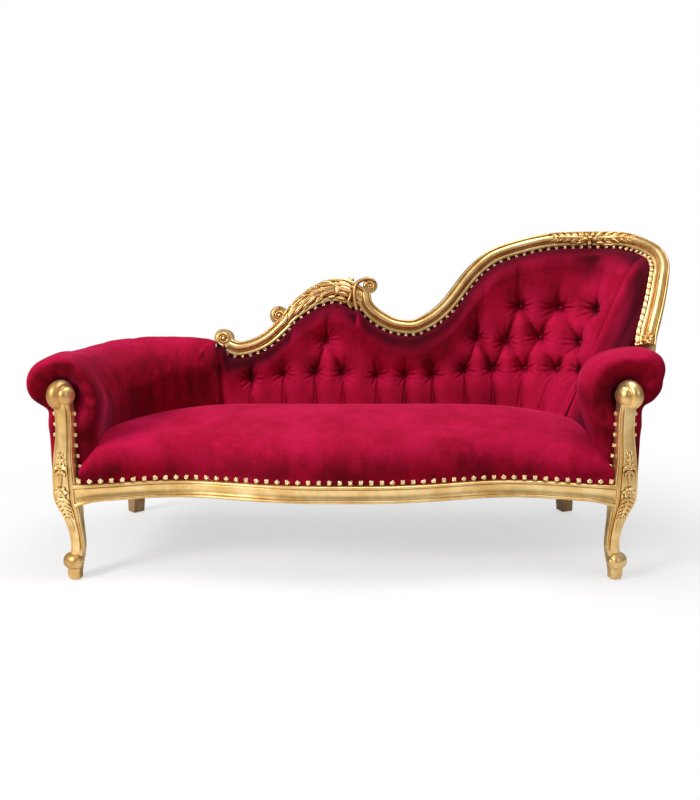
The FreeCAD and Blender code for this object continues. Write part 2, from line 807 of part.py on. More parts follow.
def moulding_section(point, along, front, width, thickness):
    # Seen from the lower edge: tacking strip, fillet, quirk, large half-round and a small upper bead.
    up = unit(front.cross(along))
    front = unit(along.cross(up))

    def at(height, depth):
        return point + up * height + front * depth

    low = -width / 2
    high = width / 2
    strip = low + size.tack_strip
    fillet = strip + size.crest_fillet * width / size.crest_width
    bead = high - size.rail_bead * width / size.crest_width
    proud = size.crest_roll / 3
    return sampled([
        line(at(high, -thickness), at(low, -thickness)),
        line(at(low, -thickness), at(low, 0)),
        line(at(low, 0), at(strip, 0)),
        line(at(strip, 0), at(strip, proud)),
        line(at(strip, proud), at(fillet, proud)),
        arc(at(fillet, proud), at((fillet + bead) / 2, size.crest_roll), at(bead, proud)),
        arc(at(bead, proud), at((bead + high) / 2, proud + size.rail_bead / 2), at(high, proud)),
        line(at(high, proud), at(high, -thickness)),
    ], CREST_ARC_STEPS)


def crest_thickness(z):
    return (outside_back_y(z) - cover_inside - crest_face_y(z)) * math.cos(rake)


def flat_frames(shares, count):
    curve = smooth_curve([crest_point(x, z) for x, z in shares])
    frames = []
    for at in even_steps(count):
        frames.append((curve.value(at), unit(curve.tangent(at)[0]), crest_normal))
    return frames


def head_frames(count, start, end):
    points = []
    for x, y, z, facing in HEAD_SHARES:
        level = z * size.head_height
        points.append(Vec(x * size.leg_span, y * crest_face_y(level), level))
    curve = smooth_curve(points)
    steps = len(points) - 1
    facings = [(step / steps, unit(Vec(*row[3]))) for step, row in enumerate(HEAD_SHARES)]
    frames = []
    for at in even_steps(count, start, end):
        along = unit(curve.tangent(at)[0])
        facing = table_value(facings, at)
        front = unit(facing - along * facing.dot(along))
        frames.append((curve.value(at), along, front))
    return frames


def lower_edge(frames, widths):
    return [point - unit(front.cross(along)) * (width / 2)
            for (point, along, front), width in zip(frames, widths)]


def moulding(frames, widths, thickness_at):
    return skin([moulding_section(point, along, front, width, thickness_at(point.z))
                 for (point, along, front), width in zip(frames, widths)])


def disc(centre, radius, spare=0):
    # A volute's round block, from the back of the rail to its face.
    thickness = crest_thickness(centre.z) + spare
    deep = thickness + size.crest_roll / 3 + spare
    return Part.makeCylinder(radius, deep, centre - crest_normal * thickness, crest_normal)


VOLUTE_TURN_SHARE = 0.72
VOLUTE_BAND_SHARE = 0.34


def volute(centre, radius, start, sense, quarters):
    # A raised band that winds inward: its two edges are quarter arcs, each smaller than the last.
    def at(angle, reach):
        turned = start + sense * angle
        return centre + Vec(math.cos(turned) * reach, 0, 0) + crest_up * (math.sin(turned) * reach)

    def reach(angle):
        return radius * VOLUTE_TURN_SHARE ** (angle / (math.pi / 2))

    quarter = math.pi / 2
    outer = []
    inner = []
    band = 1 - VOLUTE_BAND_SHARE
    for index in range(quarters):
        angles = [index * quarter, (index + 0.5) * quarter, (index + 1) * quarter]
        outer.append(arc(*[at(angle, reach(angle)) for angle in angles]))
        inner.append(arc(*[at(angle, reach(angle) * band) for angle in reversed(angles)]))
    last = quarters * quarter
    close = line(at(last, reach(last)), at(last, reach(last) * band))
    begin = line(at(0, reach(0) * band), at(0, reach(0)))
    wire = Part.Wire(outer + [close] + inner[::-1] + [begin])
    face = Part.Face(wire)
    face.translate(crest_normal * (size.crest_roll / 3))
    return face.extrude(crest_normal * size.volute_relief)


def scroll_end(x_share, z_share, radius, start, sense):
    centre = crest_point(x_share, z_share)
    eye = Part.makeCylinder(radius / 5, size.volute_relief, centre + crest_normal * (size.crest_roll / 3),
                            crest_normal)
    return disc(centre, radius).fuse([volute(centre, radius, start, sense, 5), eye])


scroll_frames = flat_frames(SCROLL_RAIL_SHARES, 10)
leaf_frames = flat_frames(LEAF_RAIL_SHARES, 12)
sweep_frames = flat_frames(SWEEP_RAIL_SHARES, 19)
rail_frames = head_frames(10, 0, STILE_START_SHARE)
stile_frames = head_frames(13, STILE_START_SHARE, 1)
scroll_frames[-1] = leaf_frames[0]
sweep_frames[-1] = rail_frames[0]
plain_width = size.crest_width + size.tack_strip / 2
scroll_widths = [plain_width] * len(scroll_frames)
width_steps = list(zip(even_steps(len(LEAF_WIDTH_SHARES)), LEAF_WIDTH_SHARES))
leaf_widths = [table_value(width_steps, at) * size.leaf_rail_width for at in even_steps(len(leaf_frames))]
sweep_widths = [plain_width] * len(sweep_frames)
rail_widths = [plain_width] * len(rail_frames)
stile_widths = [plain_width] * len(stile_frames)

LEFT_VOLUTE_SHARE = (-0.2706, 0.6373)
LEAF_VOLUTE_SHARE = (-0.1477, 0.7162)
HEAD_CURL_SHARE = (0.0441, 0.8084)
left_volute = scroll_end(*LEFT_VOLUTE_SHARE, size.volute_radius, 1.5 * math.pi, -1)
leaf_volute = scroll_end(*LEAF_VOLUTE_SHARE, size.volute_radius, math.pi / 2, 1)
head_curl = scroll_end(*HEAD_CURL_SHARE, size.curl_radius, math.pi, -1)
leaf_rail = moulding(leaf_frames, leaf_widths, crest_thickness).fuse(leaf_volute)
volute_seat = disc(crest_point(*LEAF_VOLUTE_SHARE), size.volute_radius + size.fit_gap, size.overrun)
scroll_rail = main_solid(moulding(scroll_frames, scroll_widths, crest_thickness).cut(volute_seat))
scroll_rail = scroll_rail.fuse(left_volute)
sweep_rail = moulding(sweep_frames, sweep_widths, crest_thickness).fuse(head_curl)
sweep_rail = main_solid(sweep_rail.cut(moulding(leaf_frames, leaf_widths, crest_thickness)))


def stile_thickness(z):
    return size.stile_thickness


head_rail = moulding(rail_frames, rail_widths, crest_thickness)
head_stile = moulding(stile_frames, stile_widths, stile_thickness)

for name, rail in (("crest_scroll_rail", scroll_rail), ("crest_leaf_rail", leaf_rail),
                   ("crest_sweep_rail", sweep_rail), ("head_rail", head_rail)):
    add_feature(name, rail)


# Line under the crest that the padding meets

def lower_line(frames, widths, count):
    # The lower edge as close points, read through a smooth curve.
    curve = smooth_curve(lower_edge(frames, widths))
    return [curve.value(at) for at in even_steps(count)]


crest_lines = [lower_line(scroll_frames, scroll_widths, 30), lower_line(leaf_frames, leaf_widths, 30),
               lower_line(sweep_frames, sweep_widths, 60), lower_line(rail_frames, rail_widths, 30)]
head_line = lower_line(rail_frames, rail_widths, 40) + lower_line(stile_frames, stile_widths, 60)[1:]


def crest_under_z(x):
    # Height of the underside of the crest over a place along the seat.
    found = []
    for points in crest_lines:
        for left, right in zip(points, points[1:]):
            if min(left.x, right.x) <= x <= max(left.x, right.x) and left.x != right.x:
                found.append(blend(left.z, right.z, (x - left.x) / (right.x - left.x)))
    return min(found) if found else crest_lines[0][0].z


def crest_under_point(x):
    z = crest_under_z(x) - size.crest_gap
    return Vec(x, crest_face_y(z), z)


def sweep_tail(x):
    return [point for point in crest_lines[2] if point.x >= x]


# Inner surface of the back: flat, then round the corner of the head and opening outward as it rises

flat_end = right_centre.x
arc_run = size.right_seat_radius * math.pi / 2
corner_run = arc_run + right_centre.y - size.right_arm_end
head_chain = sweep_tail(flat_end - size.overrun) + head_line[1:]


def corner_angle(run):
    return math.pi / 2 - min((run - flat_end) / size.right_seat_radius, math.pi / 2)


def outward(run):
    if run <= flat_end:
        return Vec(0, 1, 0)
    angle = corner_angle(run)
    return Vec(math.cos(angle), math.sin(angle), 0)


def foot_point(run):
    # Where the inner surface meets the seat.
    if run < left_centre.x:
        return Vec(run, seat_back_y(run), size.seat_edge)
    if run <= flat_end:
        return Vec(run, size.seat_back, size.seat_edge)
    angle = corner_angle(run)
    reach = size.right_seat_radius
    past = max(run - flat_end - arc_run, 0)
    return Vec(right_centre.x + reach * math.cos(angle), right_centre.y + reach * math.sin(angle) - past,
               size.seat_edge)


def head_point(run):
    # Where the inner surface meets the underside of the crest, head or stile.
    if run <= flat_end:
        return crest_under_point(run)
    foot = foot_point(run)
    out = outward(run)
    across = Vec(-out.y, out.x, 0)
    for before, after in zip(head_chain, head_chain[1:]):
        near = (before - foot).dot(across)
        far = (after - foot).dot(across)
        if near * far <= 0 and near != far and (before - foot).dot(out) > 0:
            return blend(before, after, near / (near - far)) - Vec(0, 0, size.crest_gap)
    return head_chain[-1] - Vec(0, 0, size.crest_gap)


def back_face(run, z):
    # The inner surface at a run along it and a height, before tufting.
    foot = foot_point(run)
    head = head_point(run)
    if run <= flat_end:
        return Vec(run, foot.y + (z - size.seat_edge) * rake_slope, z)
    proud = head - outward(run) * size.pad_proud
    place = blend(foot, proud, (z - size.seat_edge) / (head.z - size.seat_edge))
    return Vec(place.x, place.y, z)


def back_rear(run, z):
    # The hidden side of the padding, which thins towards its top edge.
    foot = foot_point(run)
    head = head_point(run)
    if z == head.z:
        drop = size.pad_edge * STILE_LEAN_SHARE if run > flat_end else size.pad_edge * rake_slope
        return head + outward(run) * size.pad_edge - Vec(0, 0, drop + size.soft_gap)
    if run <= flat_end:
        return Vec(run, foot.y + size.pad_thickness + (z - size.seat_edge) * outside_slope, z)
    share = (z - size.seat_edge) / (head.z - size.seat_edge)
    place = blend(foot + outward(run) * size.pad_thickness, head + outward(run) * size.pad_edge, share)
    return Vec(place.x, place.y, z)


STILE_LEAN_SHARE = 0.35


# Deep-buttoned padding: buttons in three rows, pleats between them, a full pillow in every cell

RUN = size.leg_span
RISE = size.head_height
PAD_START_SHARE = -0.2706
PAD_END_SHARE = 0.507
# place along the back as a share of the leg span, height as a share of the head's height
BUTTON_SHARES = {
    "a1": (-0.2065, 0.502), "a2": (-0.1359, 0.5184), "a3": (-0.0654, 0.5225), "a4": (-0.0052, 0.5225),
    "a5": (0.068, 0.5143), "a6": (0.1307, 0.5143), "a7": (0.1908, 0.5143), "a8": (0.2614, 0.5307),
    "a9": (0.3216, 0.5348), "a10": (0.3817, 0.5389), "a11": (0.4366, 0.543), "a12": (0.4843, 0.5471),
    "b0": (-0.0418, 0.6332), "b1": (0.2876, 0.6414), "b2": (0.3451, 0.6291), "b3": (0.4013, 0.6455),
    "b4": (0.4601, 0.6332), "c0": (0.3163, 0.7398), "c1": (0.366, 0.748), "c2": (0.4209, 0.7439),
    "c3": (0.4706, 0.7439),
}
BARE_KNOTS = ("c0",)
EDGE_SHARES = {"a0": (PAD_START_SHARE, 0.5), "a13": (PAD_END_SHARE, 0.5512), "e1": (PAD_END_SHARE, 0.6455),
               "e2": (PAD_END_SHARE, 0.7439)}
COLUMNS = ["a%d" % index for index in range(14)]
spots = dict(BUTTON_SHARES)
spots.update(EDGE_SHARES)


def spot_run(name):
    return spots[name][0] * RUN


def knot_depth(name):
    if name in EDGE_SHARES:
        return size.tuft_depth / 2
    return size.tuft_depth


def lifted(run, z, proud):
    return back_face(run, z) - outward(run) * proud


knots = {name: lifted(share[0] * RUN, share[1] * RISE, -knot_depth(name)) for name, share in spots.items()}
for name in COLUMNS:
    knots["s" + name[1:]] = lifted(spot_run(name), size.seat_edge, -size.tuft_depth / 2)
    bottom = foot_point(spot_run(name))
    knots["z" + name[1:]] = Vec(bottom.x, bottom.y, platform_top + size.soft_gap) + outward(spot_run(name)) * (
        size.tuft_depth / 2)
TOP_KNOTS = {"t0": "a0", "t1": "a1", "t2": "a2", "t3": "a3", "tb0": "b0", "t4": "a4", "t5": "a5", "t6": "a6",
             "t7": "a7", "t8": "a8", "tb1": "b1", "tc0": "c0", "tc1": "c1", "tc2": "c2", "tc3": "c3",
             "te": "e2"}
for name, under in TOP_KNOTS.items():
    knots[name] = head_point(spot_run(under))
CELLS = [("s%d s%d a%d a%d" % (index, index + 1, index + 1, index)).split() for index in range(13)]
CELLS += [cell.split() for cell in (
    "a0 a1 t1 t0", "a1 a2 t2 t1", "a2 a3 t3 t2", "a3 b0 tb0 t3", "a3 a4 b0", "a4 t4 tb0 b0", "a4 a5 t5 t4",
    "a5 a6 t6 t5", "a6 a7 t7 t6", "a7 a8 t8 t7", "a8 b1 tb1 t8", "a8 a9 b1", "a9 a10 b2", "a10 a11 b3",
    "a11 a12 b4", "a9 b2 c0 b1", "a10 b3 c1 b2", "a11 b4 c2 b3", "b1 c0 tc0 tb1", "b2 c1 tc1 tc0 c0",
    "b3 c2 tc2 tc1 c1", "b4 c3 tc3 tc2 c2", "a12 a13 e1 c3 b4", "e1 e2 te tc3 c3")]
SKIRT = [("z%d z%d s%d s%d" % (index, index + 1, index + 1, index)).split() for index in range(13)]
TOP_STEPS = 4


def is_top(name):
    return name in TOP_KNOTS


def edge_points(first, second):
    # The points between two knots: along the crest where both lie there, else the middle of a pleat.
    if is_top(first) and is_top(second):
        start = spot_run(TOP_KNOTS[first])
        end = spot_run(TOP_KNOTS[second])
        return [head_point(blend(start, end, step / TOP_STEPS)) for step in range(1, TOP_STEPS)]
    return [(knots[first] + knots[second]) * 0.5]


def cell_outline(cell):
    outline = []
    for first, second in zip(cell, cell[1:] + cell[:1]):
        outline.append(knots[first])
        outline += edge_points(first, second)
    return outline


def centre_of(points):
    total = Vec(0, 0, 0)
    for point in points:
        total = total + point
    return total / len(points)


def cell_run(cell):
    runs = [spot_run(TOP_KNOTS.get(name, "a" + name[1:] if name[0] in "sz" else name)) for name in cell]
    return sum(runs) / len(runs)


RING_SHARE = 0.5
RING_LIFT_SHARE = 0.85


def pillow_faces(cell, crown):
    outline = cell_outline(cell)
    front = outward(cell_run(cell)) * -1
    middle = centre_of(outline) + front * crown
    ring = [blend(point, middle, RING_SHARE) + front * (crown * (RING_LIFT_SHARE - RING_SHARE))
            for point in outline]
    faces = []
    for index in range(len(outline)):
        after = (index + 1) % len(outline)
        faces.append(flat_face([outline[index], outline[after], ring[after]]))
        faces.append(flat_face([outline[index], ring[after], ring[index]]))
        faces.append(flat_face([ring[index], ring[after], middle]))
    return faces


def fan_faces(points):
    middle = centre_of(points)
    return [flat_face([points[index], points[(index + 1) % len(points)], middle])
            for index in range(len(points))]


def run_of(point_name):
    return spot_run(TOP_KNOTS.get(point_name, "a" + point_name[1:] if point_name[0] in "sz" else point_name))


def rear_outline(cell):
    outline = []
    for first, second in zip(cell, cell[1:] + cell[:1]):
        outline.append(rear_knot(first))
        if is_top(first) and is_top(second):
            start = run_of(first)
            end = run_of(second)
            for step in range(1, TOP_STEPS):
                run = blend(start, end, step / TOP_STEPS)
                outline.append(back_rear(run, head_point(run).z))
        else:
            outline.append((rear_knot(first) + rear_knot(second)) * 0.5)
    return outline


def rear_knot(name):
    run = run_of(name)
    if name[0] == "z":
        foot = foot_point(run) + outward(run) * size.pad_thickness
        return Vec(foot.x, foot.y, platform_top + size.soft_gap)
    return back_rear(run, knots[name].z)


def back_pad():
    faces = []
    for cell in CELLS:
        faces += pillow_faces(cell, size.tuft_crown + size.tuft_depth)
        faces += fan_faces(rear_outline(cell)[::-1])
    for cell in SKIRT:
        faces += fan_faces(cell_outline(cell))
        faces += fan_faces(rear_outline(cell)[::-1])
    border = {}
    for cell in CELLS + SKIRT:
        for first, second in zip(cell, cell[1:] + cell[:1]):
            key = frozenset((first, second))
            border[key] = None if key in border else (first, second)
    for pair in border.values():
        if pair:
            first, second = pair
            front = [knots[first]] + edge_points(first, second) + [knots[second]]
            rear_cell = rear_outline([first, second])
            rear = rear_cell[:len(front) - 1] + [rear_knot(second)]
            for index in range(len(front) - 1):
                faces.append(flat_face([front[index + 1], front[index], rear[index]]))
                faces.append(flat_face([front[index + 1], rear[index], rear[index + 1]]))
    return closed_solid(faces)


add_feature("back_pad", main_solid(back_pad().cut(head_stile)))


def hexagon(centre, axis, radius):
    sideways = unit(axis.cross(Vec(0, 0, 1)))
    other = unit(axis.cross(sideways))
    corners = []
    for index in range(6):
        angle = math.pi / 3 * index
        corners.append(centre + sideways * (math.cos(angle) * radius) + other * (math.sin(angle) * radius))
    return corners


def stud(seat, axis, radius, height):
    # A covered button: a base and a smaller crown.
    return skin([hexagon(seat, axis, radius), hexagon(seat + axis * height, axis, radius / 2)])


def nail(seat, axis):
    # A low domed nail head, drawn with six sides that meet at its top.
    rim = hexagon(seat, axis, size.nail_radius)
    top = seat + axis * size.nail_height
    dome = [flat_face([rim[index - 1], rim[index], top]) for index in range(len(rim))]
    return closed_solid([flat_face(rim)] + dome)


BUTTON_SEAT_SHARE = 0.8
buttons = []
for name, share in BUTTON_SHARES.items():
    if name not in BARE_KNOTS:
        run = share[0] * RUN
        axis = outward(run) * -1
        seat = knots[name] + axis * (size.button_radius * BUTTON_SEAT_SHARE)
        buttons.append(stud(seat, axis, size.button_radius, size.button_height))
add_feature("back_buttons", Part.makeCompound(buttons))


# Wing: the plain padding between the buttoning and the stile

WING_HOLLOW_SHARE = 0.18
WING_ARC_STEPS = 6


def wing_section(run):
    foot = foot_point(run)
    head = head_point(run)
    out = outward(run)
    low = platform_top + size.soft_gap
    bottom = Vec(foot.x, foot.y, low)
    seat_line = Vec(foot.x, foot.y, size.seat_edge)
    middle = (seat_line + head) * 0.5 + out * (size.pad_proud * WING_HOLLOW_SHARE)
    head_rear = head + out * size.pad_edge - Vec(0, 0, size.pad_edge * STILE_LEAN_SHARE + size.soft_gap)
    rear = seat_line + out * size.pad_thickness
    rear_low = bottom + out * size.pad_thickness
    return sampled([line(bottom, seat_line), arc(seat_line, middle, head), line(head, head_rear),
                    line(head_rear, rear), line(rear, rear_low), line(rear_low, bottom)], WING_ARC_STEPS)


def wing_pad():
    start = PAD_END_SHARE * RUN + size.soft_gap
    end = flat_end + corner_run
    return main_solid(skin([wing_section(run) for run in even_steps(9, start, end)]).cut(head_stile))


wing = wing_pad()
add_feature("wing_pad", wing)
add_feature("head_stile", head_stile)


# Arms: a stuffed roll over a board on uprights, with a rounded padded face round each front leg

# offsets are shares of the roll's width outward from the seat line, heights are shares of the arm's top
LEFT_ARM_SHARES = [
    # place along the arm, top offset, top height, overhang past the panel, bulge offset, bulge height
    (0.0, 0.514, 1.000, 0.290, -0.130, 0.81),
    (0.16, 0.480, 0.998, 0.260, -0.070, 0.81),
    (0.33, 0.370, 0.980, 0.190, -0.030, 0.80),
    (0.5, 0.330, 0.974, 0.130, -0.010, 0.80),
    (0.67, 0.290, 0.984, 0.080, 0.000, 0.80),
    (0.84, 0.250, 0.990, 0.050, 0.010, 0.80),
    (1.0, 0.200, 0.972, 0.040, 0.010, 0.80),
]
RIGHT_ARM_SHARES = [
    (0.0, 0.348, 1.000, 0.290, -0.337, 0.855),
    (0.5, 0.348, 1.000, 0.290, -0.300, 0.855),
    (1.0, 0.348, 0.990, 0.280, -0.220, 0.850),
]
ROLL_LEVEL_SHARE = 0.85
LEFT_ARM_TURN_SHARE = 0.82


def arm_place(side, share):
    # A point on the seat line beside the arm, with the outward direction there.
    start = size.arm_start
    if side > 0:
        return Vec(size.right_seat_x, blend(start, size.right_arm_end, share), 0), Vec(1, 0, 0)
    straight = LEFT_ARM_SHARES[1][0]
    if share <= straight:
        return Vec(-size.left_seat_x, blend(start, left_centre.y, share / straight), 0), Vec(-1, 0, 0)
    angle = math.pi - (share - straight) / (1 - straight) * LEFT_ARM_TURN_SHARE * math.pi / 2
    out = Vec(math.cos(angle), math.sin(angle), 0)
    return left_centre + out * size.left_seat_radius, out


def outline_reach(side, base, out):
    # How far outward the straight sides and round corner of the seat frame lie.
    radius = corner_radius(side)
    centre = Vec(side * (side_x - radius), size.back_reach - radius, 0)
    reaches = []
    if abs(out.x) > abs(out.y) / size.leg_span:
        reach = (side * side_x - base.x) / out.x
        if base.y + out.y * reach <= centre.y:
            reaches.append(reach)
    if out.y > 0:
        reach = (size.back_reach - base.y) / out.y
        if side * (base.x + out.x * reach) <= side * centre.x:
            reaches.append(reach)
    if not reaches:
        offset = base - centre
        along = offset.dot(out)
        reaches.append(-along + math.sqrt(along ** 2 - offset.Length ** 2 + radius ** 2))
    return reaches[0] - cover_inside


def arm_profile(side, share, shrink=0):
    # The named points of one section, as offset and height pairs.
    rows = LEFT_ARM_SHARES if side < 0 else RIGHT_ARM_SHARES
    values = [table_value([(row[0], row[column]) for row in rows], share) for column in range(1, 6)]
    top_offset, top_height, overhang, bulge_offset, bulge_height = values
    roll = size.left_roll_width if side < 0 else size.right_roll_width
    arm_top = size.left_arm_top if side < 0 else size.right_arm_top
    base, out = arm_place(side, share)
    panel = outline_reach(side, base, out)
    top = (top_offset * roll, top_height * arm_top - shrink)
    bulge = (bulge_offset * roll + shrink, bulge_height * top_height * arm_top)
    round_share = 1 - math.sqrt(0.5)
    shoulder = (blend(bulge[0], top[0], round_share), blend(bulge[1], top[1], 1 - round_share))
    return {
        "panel": (panel - shrink, size.outside_cover_top + 2 * size.soft_gap),
        "roll": (panel + overhang * roll - shrink, ROLL_LEVEL_SHARE * arm_top),
        "top": top,
        "shoulder": shoulder,
        "bulge": bulge,
        "seat": (size.soft_gap + shrink, size.seat_edge),
    }


def arm_section(side, share, at_y=None, shrink=0):
    # One section: a horseshoe over the board, or a filled one for the padded face in front of it.
    profile = arm_profile(side, share, shrink)
    base, out = arm_place(side, share)
    if at_y is not None:
        base = Vec(base.x, at_y, 0)

    def at(place):
        return base + out * place[0] + Vec(0, 0, place[1])

    names = ("panel", "roll", "top", "shoulder", "bulge", "seat")
    panel, roll, top, shoulder, bulge, seat = [at(profile[name]) for name in names]
    edges = [arc(panel, roll, top), arc(top, shoulder, bulge), line(bulge, seat)]
    inner = profile["seat"][0]
    if at_y is not None:
        low = frame_top + size.soft_gap
        corners = [seat, at((inner, low)), at((profile["panel"][0], low)), panel]
    else:
        low = platform_top + size.soft_gap
        wall = inner + size.arm_wall
        lip = profile["panel"][0] - size.arm_lip
        corners = [seat, at((inner, low)), at((wall, low)), at((wall, size.arm_void_top)),
                   at((lip, size.arm_void_top)), at((lip, profile["panel"][1])), panel]
    edges += [line(first, second) for first, second in zip(corners, corners[1:])]
    return sampled(edges, ARM_ARC_STEPS)


ARM_ARC_STEPS = 8
LEFT_STATION_SHARES = (0, 0.08, 0.16, 0.24, 0.32, 0.4, 0.48, 0.56, 0.64, 0.72, 0.8, 0.88, 0.94, 1)
RIGHT_STATION_SHARES = (0, 0.5, 1)
FACE_STATION_SHARES = ((0, 0.42), (0.07, 0.16), (0.3, 0.03), (1, 0))


def arm_pad(side):
    stations = LEFT_STATION_SHARES if side < 0 else RIGHT_STATION_SHARES
    return skin([arm_section(side, share) for share in stations])


def arm_facing(side):
    # The rounded face in front of the roll, cut to fit round the carved leg and its scroll.
    sections = []
    end = size.arm_start - size.soft_gap
    for place, shrink in FACE_STATION_SHARES:
        sections.append(arm_section(side, 0, blend(size.arm_face, end, place), shrink * size.arm_wall))
    return main_solid(skin(sections).cut(front_leg(side, size.fit_gap)))


def arm_board(side):
    high = size.arm_void_top - size.fit_gap
    low = high - size.arm_board_thickness
    stations = LEFT_STATION_SHARES if side < 0 else RIGHT_STATION_SHARES
    sections = []
    for share in stations:
        profile = arm_profile(side, share)
        base, out = arm_place(side, share)
        near = profile["seat"][0] + size.arm_wall + size.soft_gap
        far = profile["panel"][0] - size.arm_lip - size.soft_gap
        corners = [base + out * near + Vec(0, 0, low), base + out * far + Vec(0, 0, low),
                   base + out * far + Vec(0, 0, high), base + out * near + Vec(0, 0, high)]
        sections.append(corners)
    return skin(sections)


left_crease = disc(crest_point(*LEFT_VOLUTE_SHARE), size.volute_radius + size.soft_gap)
add_feature("left_arm_pad", arm_pad(-1).cut(left_crease))
add_feature("right_arm_pad", arm_pad(1).cut(head_stile))
for side, name in ((-1, "left"), (1, "right")):
    add_feature(name + "_arm_facing", arm_facing(side))
    add_feature(name + "_arm_board", arm_board(side))

ARM_LIP = "(sizes.arm_lip + 2 * sizes.soft_gap + %s)" % INSIDE_COVER
POST_TOP = "sizes.arm_void_top - sizes.fit_gap - sizes.arm_board_thickness - %s" % TOP
LEFT_POST_X = "-sizes.body_half_width + %s" % ARM_LIP
RIGHT_POST_X = "sizes.body_half_width - sizes.upright_thickness - %s" % ARM_LIP
POST_BACK_Y = "sizes.back_reach - sizes.upright_thickness - %s" % ARM_LIP
group("left_arm_uprights", [
    box("left_front_post", (LEFT_POST_X, "sizes.arm_start + sizes.overrun", TOP),
        "sizes.upright_thickness", "sizes.upright_width", POST_TOP),
    box("left_middle_post", (LEFT_POST_X, "sizes.back_reach - sizes.left_corner_radius - sizes.upright_width", TOP),
        "sizes.upright_thickness", "sizes.upright_width", POST_TOP),
    box("left_back_post", ("-sizes.body_half_width + sizes.left_corner_radius", POST_BACK_Y, TOP),
        "sizes.upright_width", "sizes.upright_thickness", POST_TOP)])
group("right_arm_uprights", [
    box("right_front_post", (RIGHT_POST_X, "sizes.arm_start + sizes.overrun", TOP),
        "sizes.upright_thickness", "sizes.upright_width", POST_TOP)])


# Back frame: raked uprights on the back rail, short tacking rails between them, webbing in front

POST_SHARES = (-0.2288, -0.0131, 0.2157, 0.4052)
tilt = size.outside_back_slope
post_depth = size.upright_thickness
post_front = outside_back_y(frame_top) - cover_inside - post_depth


def raked_box(left, right, low, high, depth, front):
    # A block between two places and heights, leaning with the outside back.
    def at(x, y, z):
        return Vec(x, front + y + (z - frame_top) * outside_slope, z)

    corners = [at(left, 0, low), at(right, 0, low), at(right, depth, low), at(left, depth, low)]
    upper = [at(left, 0, high), at(right, 0, high), at(right, depth, high), at(left, depth, high)]
    return skin([corners, upper])


def post_top(x):
    half = size.upright_width / 2
    under = min(crest_under_z(blend(x - half, x + half, share)) for share in even_steps(7))
    return under - crest_thickness(under) * math.sin(rake) - size.soft_gap


posts = []
for share in POST_SHARES:
    x = share * size.leg_span
    half = size.upright_width / 2
    posts.append(raked_box(x - half, x + half, frame_top, post_top(x), post_depth, post_front))
add_feature("back_uprights", Part.makeCompound(posts))
tack_rails = []
tack_low = size.seat_edge + size.overrun
for left, right in zip(POST_SHARES, POST_SHARES[1:]):
    tack_rails.append(raked_box(left * size.leg_span + size.upright_width / 2,
                                right * size.leg_span - size.upright_width / 2,
                                tack_low, tack_low + size.upright_width, post_depth, post_front))
add_feature("back_tack_rails", Part.makeCompound(tack_rails))
BACK_WEB_SHARES = ((POST_SHARES[0], POST_SHARES[-1], 0.37), (POST_SHARES[0], POST_SHARES[-1], 0.49),
                   (0.27, POST_SHARES[-1], 0.72))
back_strips = []
for left, right, level in BACK_WEB_SHARES:
    low = level * size.head_height
    back_strips.append(raked_box(left * size.leg_span - size.fit_gap, right * size.leg_span + size.fit_gap,
                                 low, low + size.webbing_width, size.webbing_thickness,
                                 post_front - size.webbing_thickness - size.fit_gap))
add_feature("back_webbing", Part.makeCompound(back_strips))


# Outside covers: thin cloth panels over the frame

def side_cover(side):
    radius = corner_radius(side)
    top = size.outside_cover_top
    ring = corner_ring(side, radius, 0, size.cover_thickness, frame_bottom, top)
    front = block_corner(side, -1, -1).y + size.soft_gap
    straight = size.back_reach - radius - front
    left = side_x - size.cover_thickness if side > 0 else -side_x
    panel = Part.makeBox(size.cover_thickness, straight, top - frame_bottom, Vec(left, front, frame_bottom))
    cover = ring.fuse(panel)
    if side < 0:
        end = POST_SHARES[0] * size.leg_span - size.upright_width / 2 - size.soft_gap
        start = -(side_x - radius)
        back = Part.makeBox(end - start, size.cover_thickness, top - frame_bottom,
                            Vec(start, size.back_reach - size.cover_thickness, frame_bottom))
        cover = cover.fuse(back)
    return cover.removeSplitter()


for side, name in ((-1, "left"), (1, "right")):
    add_feature(name + "_outside_cover", side_cover(side))


def outside_back():
    # The raked panel up to the underside of the crest, lapping onto its back.
    left = POST_SHARES[0] * size.leg_span - size.upright_width / 2
    right = side_x - size.right_corner_radius
    lap = size.crest_width / 4
    outline = [(x, crest_under_z(x) + lap) for x in even_steps(25, right, left)]
    points = [(left, frame_bottom), (right, frame_bottom)] + outline
    corners = [Vec(x, outside_back_y(z), z) for x, z in points]
    face = Part.Face(Part.makePolygon(corners + corners[:1]))
    return face.extrude(Vec(0, -size.cover_thickness, 0))


add_feature("outside_back_cover", outside_back())


def wing_cover_section(share):
    # A strip of the flared outside of the head, from the frame's outline up to the back of the stile.
    radius = size.right_corner_radius
    centre = Vec(side_x - radius, size.back_reach - radius, 0)
    low = size.outside_cover_top + 2 * size.soft_gap
    if share < WING_CORNER_SHARE:
        angle = math.pi / 2 * (1 - share / WING_CORNER_SHARE)
        out = Vec(math.cos(angle), math.sin(angle), 0)
        outer = centre + out * radius
    else:
        out = Vec(1, 0, 0)
        past = (share - WING_CORNER_SHARE) / (1 - WING_CORNER_SHARE)
        outer = centre + out * radius
        outer = Vec(outer.x, blend(outer.y, size.right_arm_end + size.overrun, past), 0)
    outer = Vec(outer.x, outer.y, low)
    point, along, front = wing_frames[int(round(share * (len(wing_frames) - 1)))]
    up = unit(front.cross(along))
    on_stile = blend(WING_START_SHARE, WING_END_SHARE, share) > STILE_START_SHARE + WING_LAP_SHARE / WING_STEPS
    thickness = size.stile_thickness if on_stile else crest_thickness(point.z)
    depth = thickness + 3 * size.cover_thickness
    top = point + up * (plain_width * WING_LAP_SHARE) - front * depth
    return [outer, top, top - out * size.cover_thickness, outer - out * size.cover_thickness]


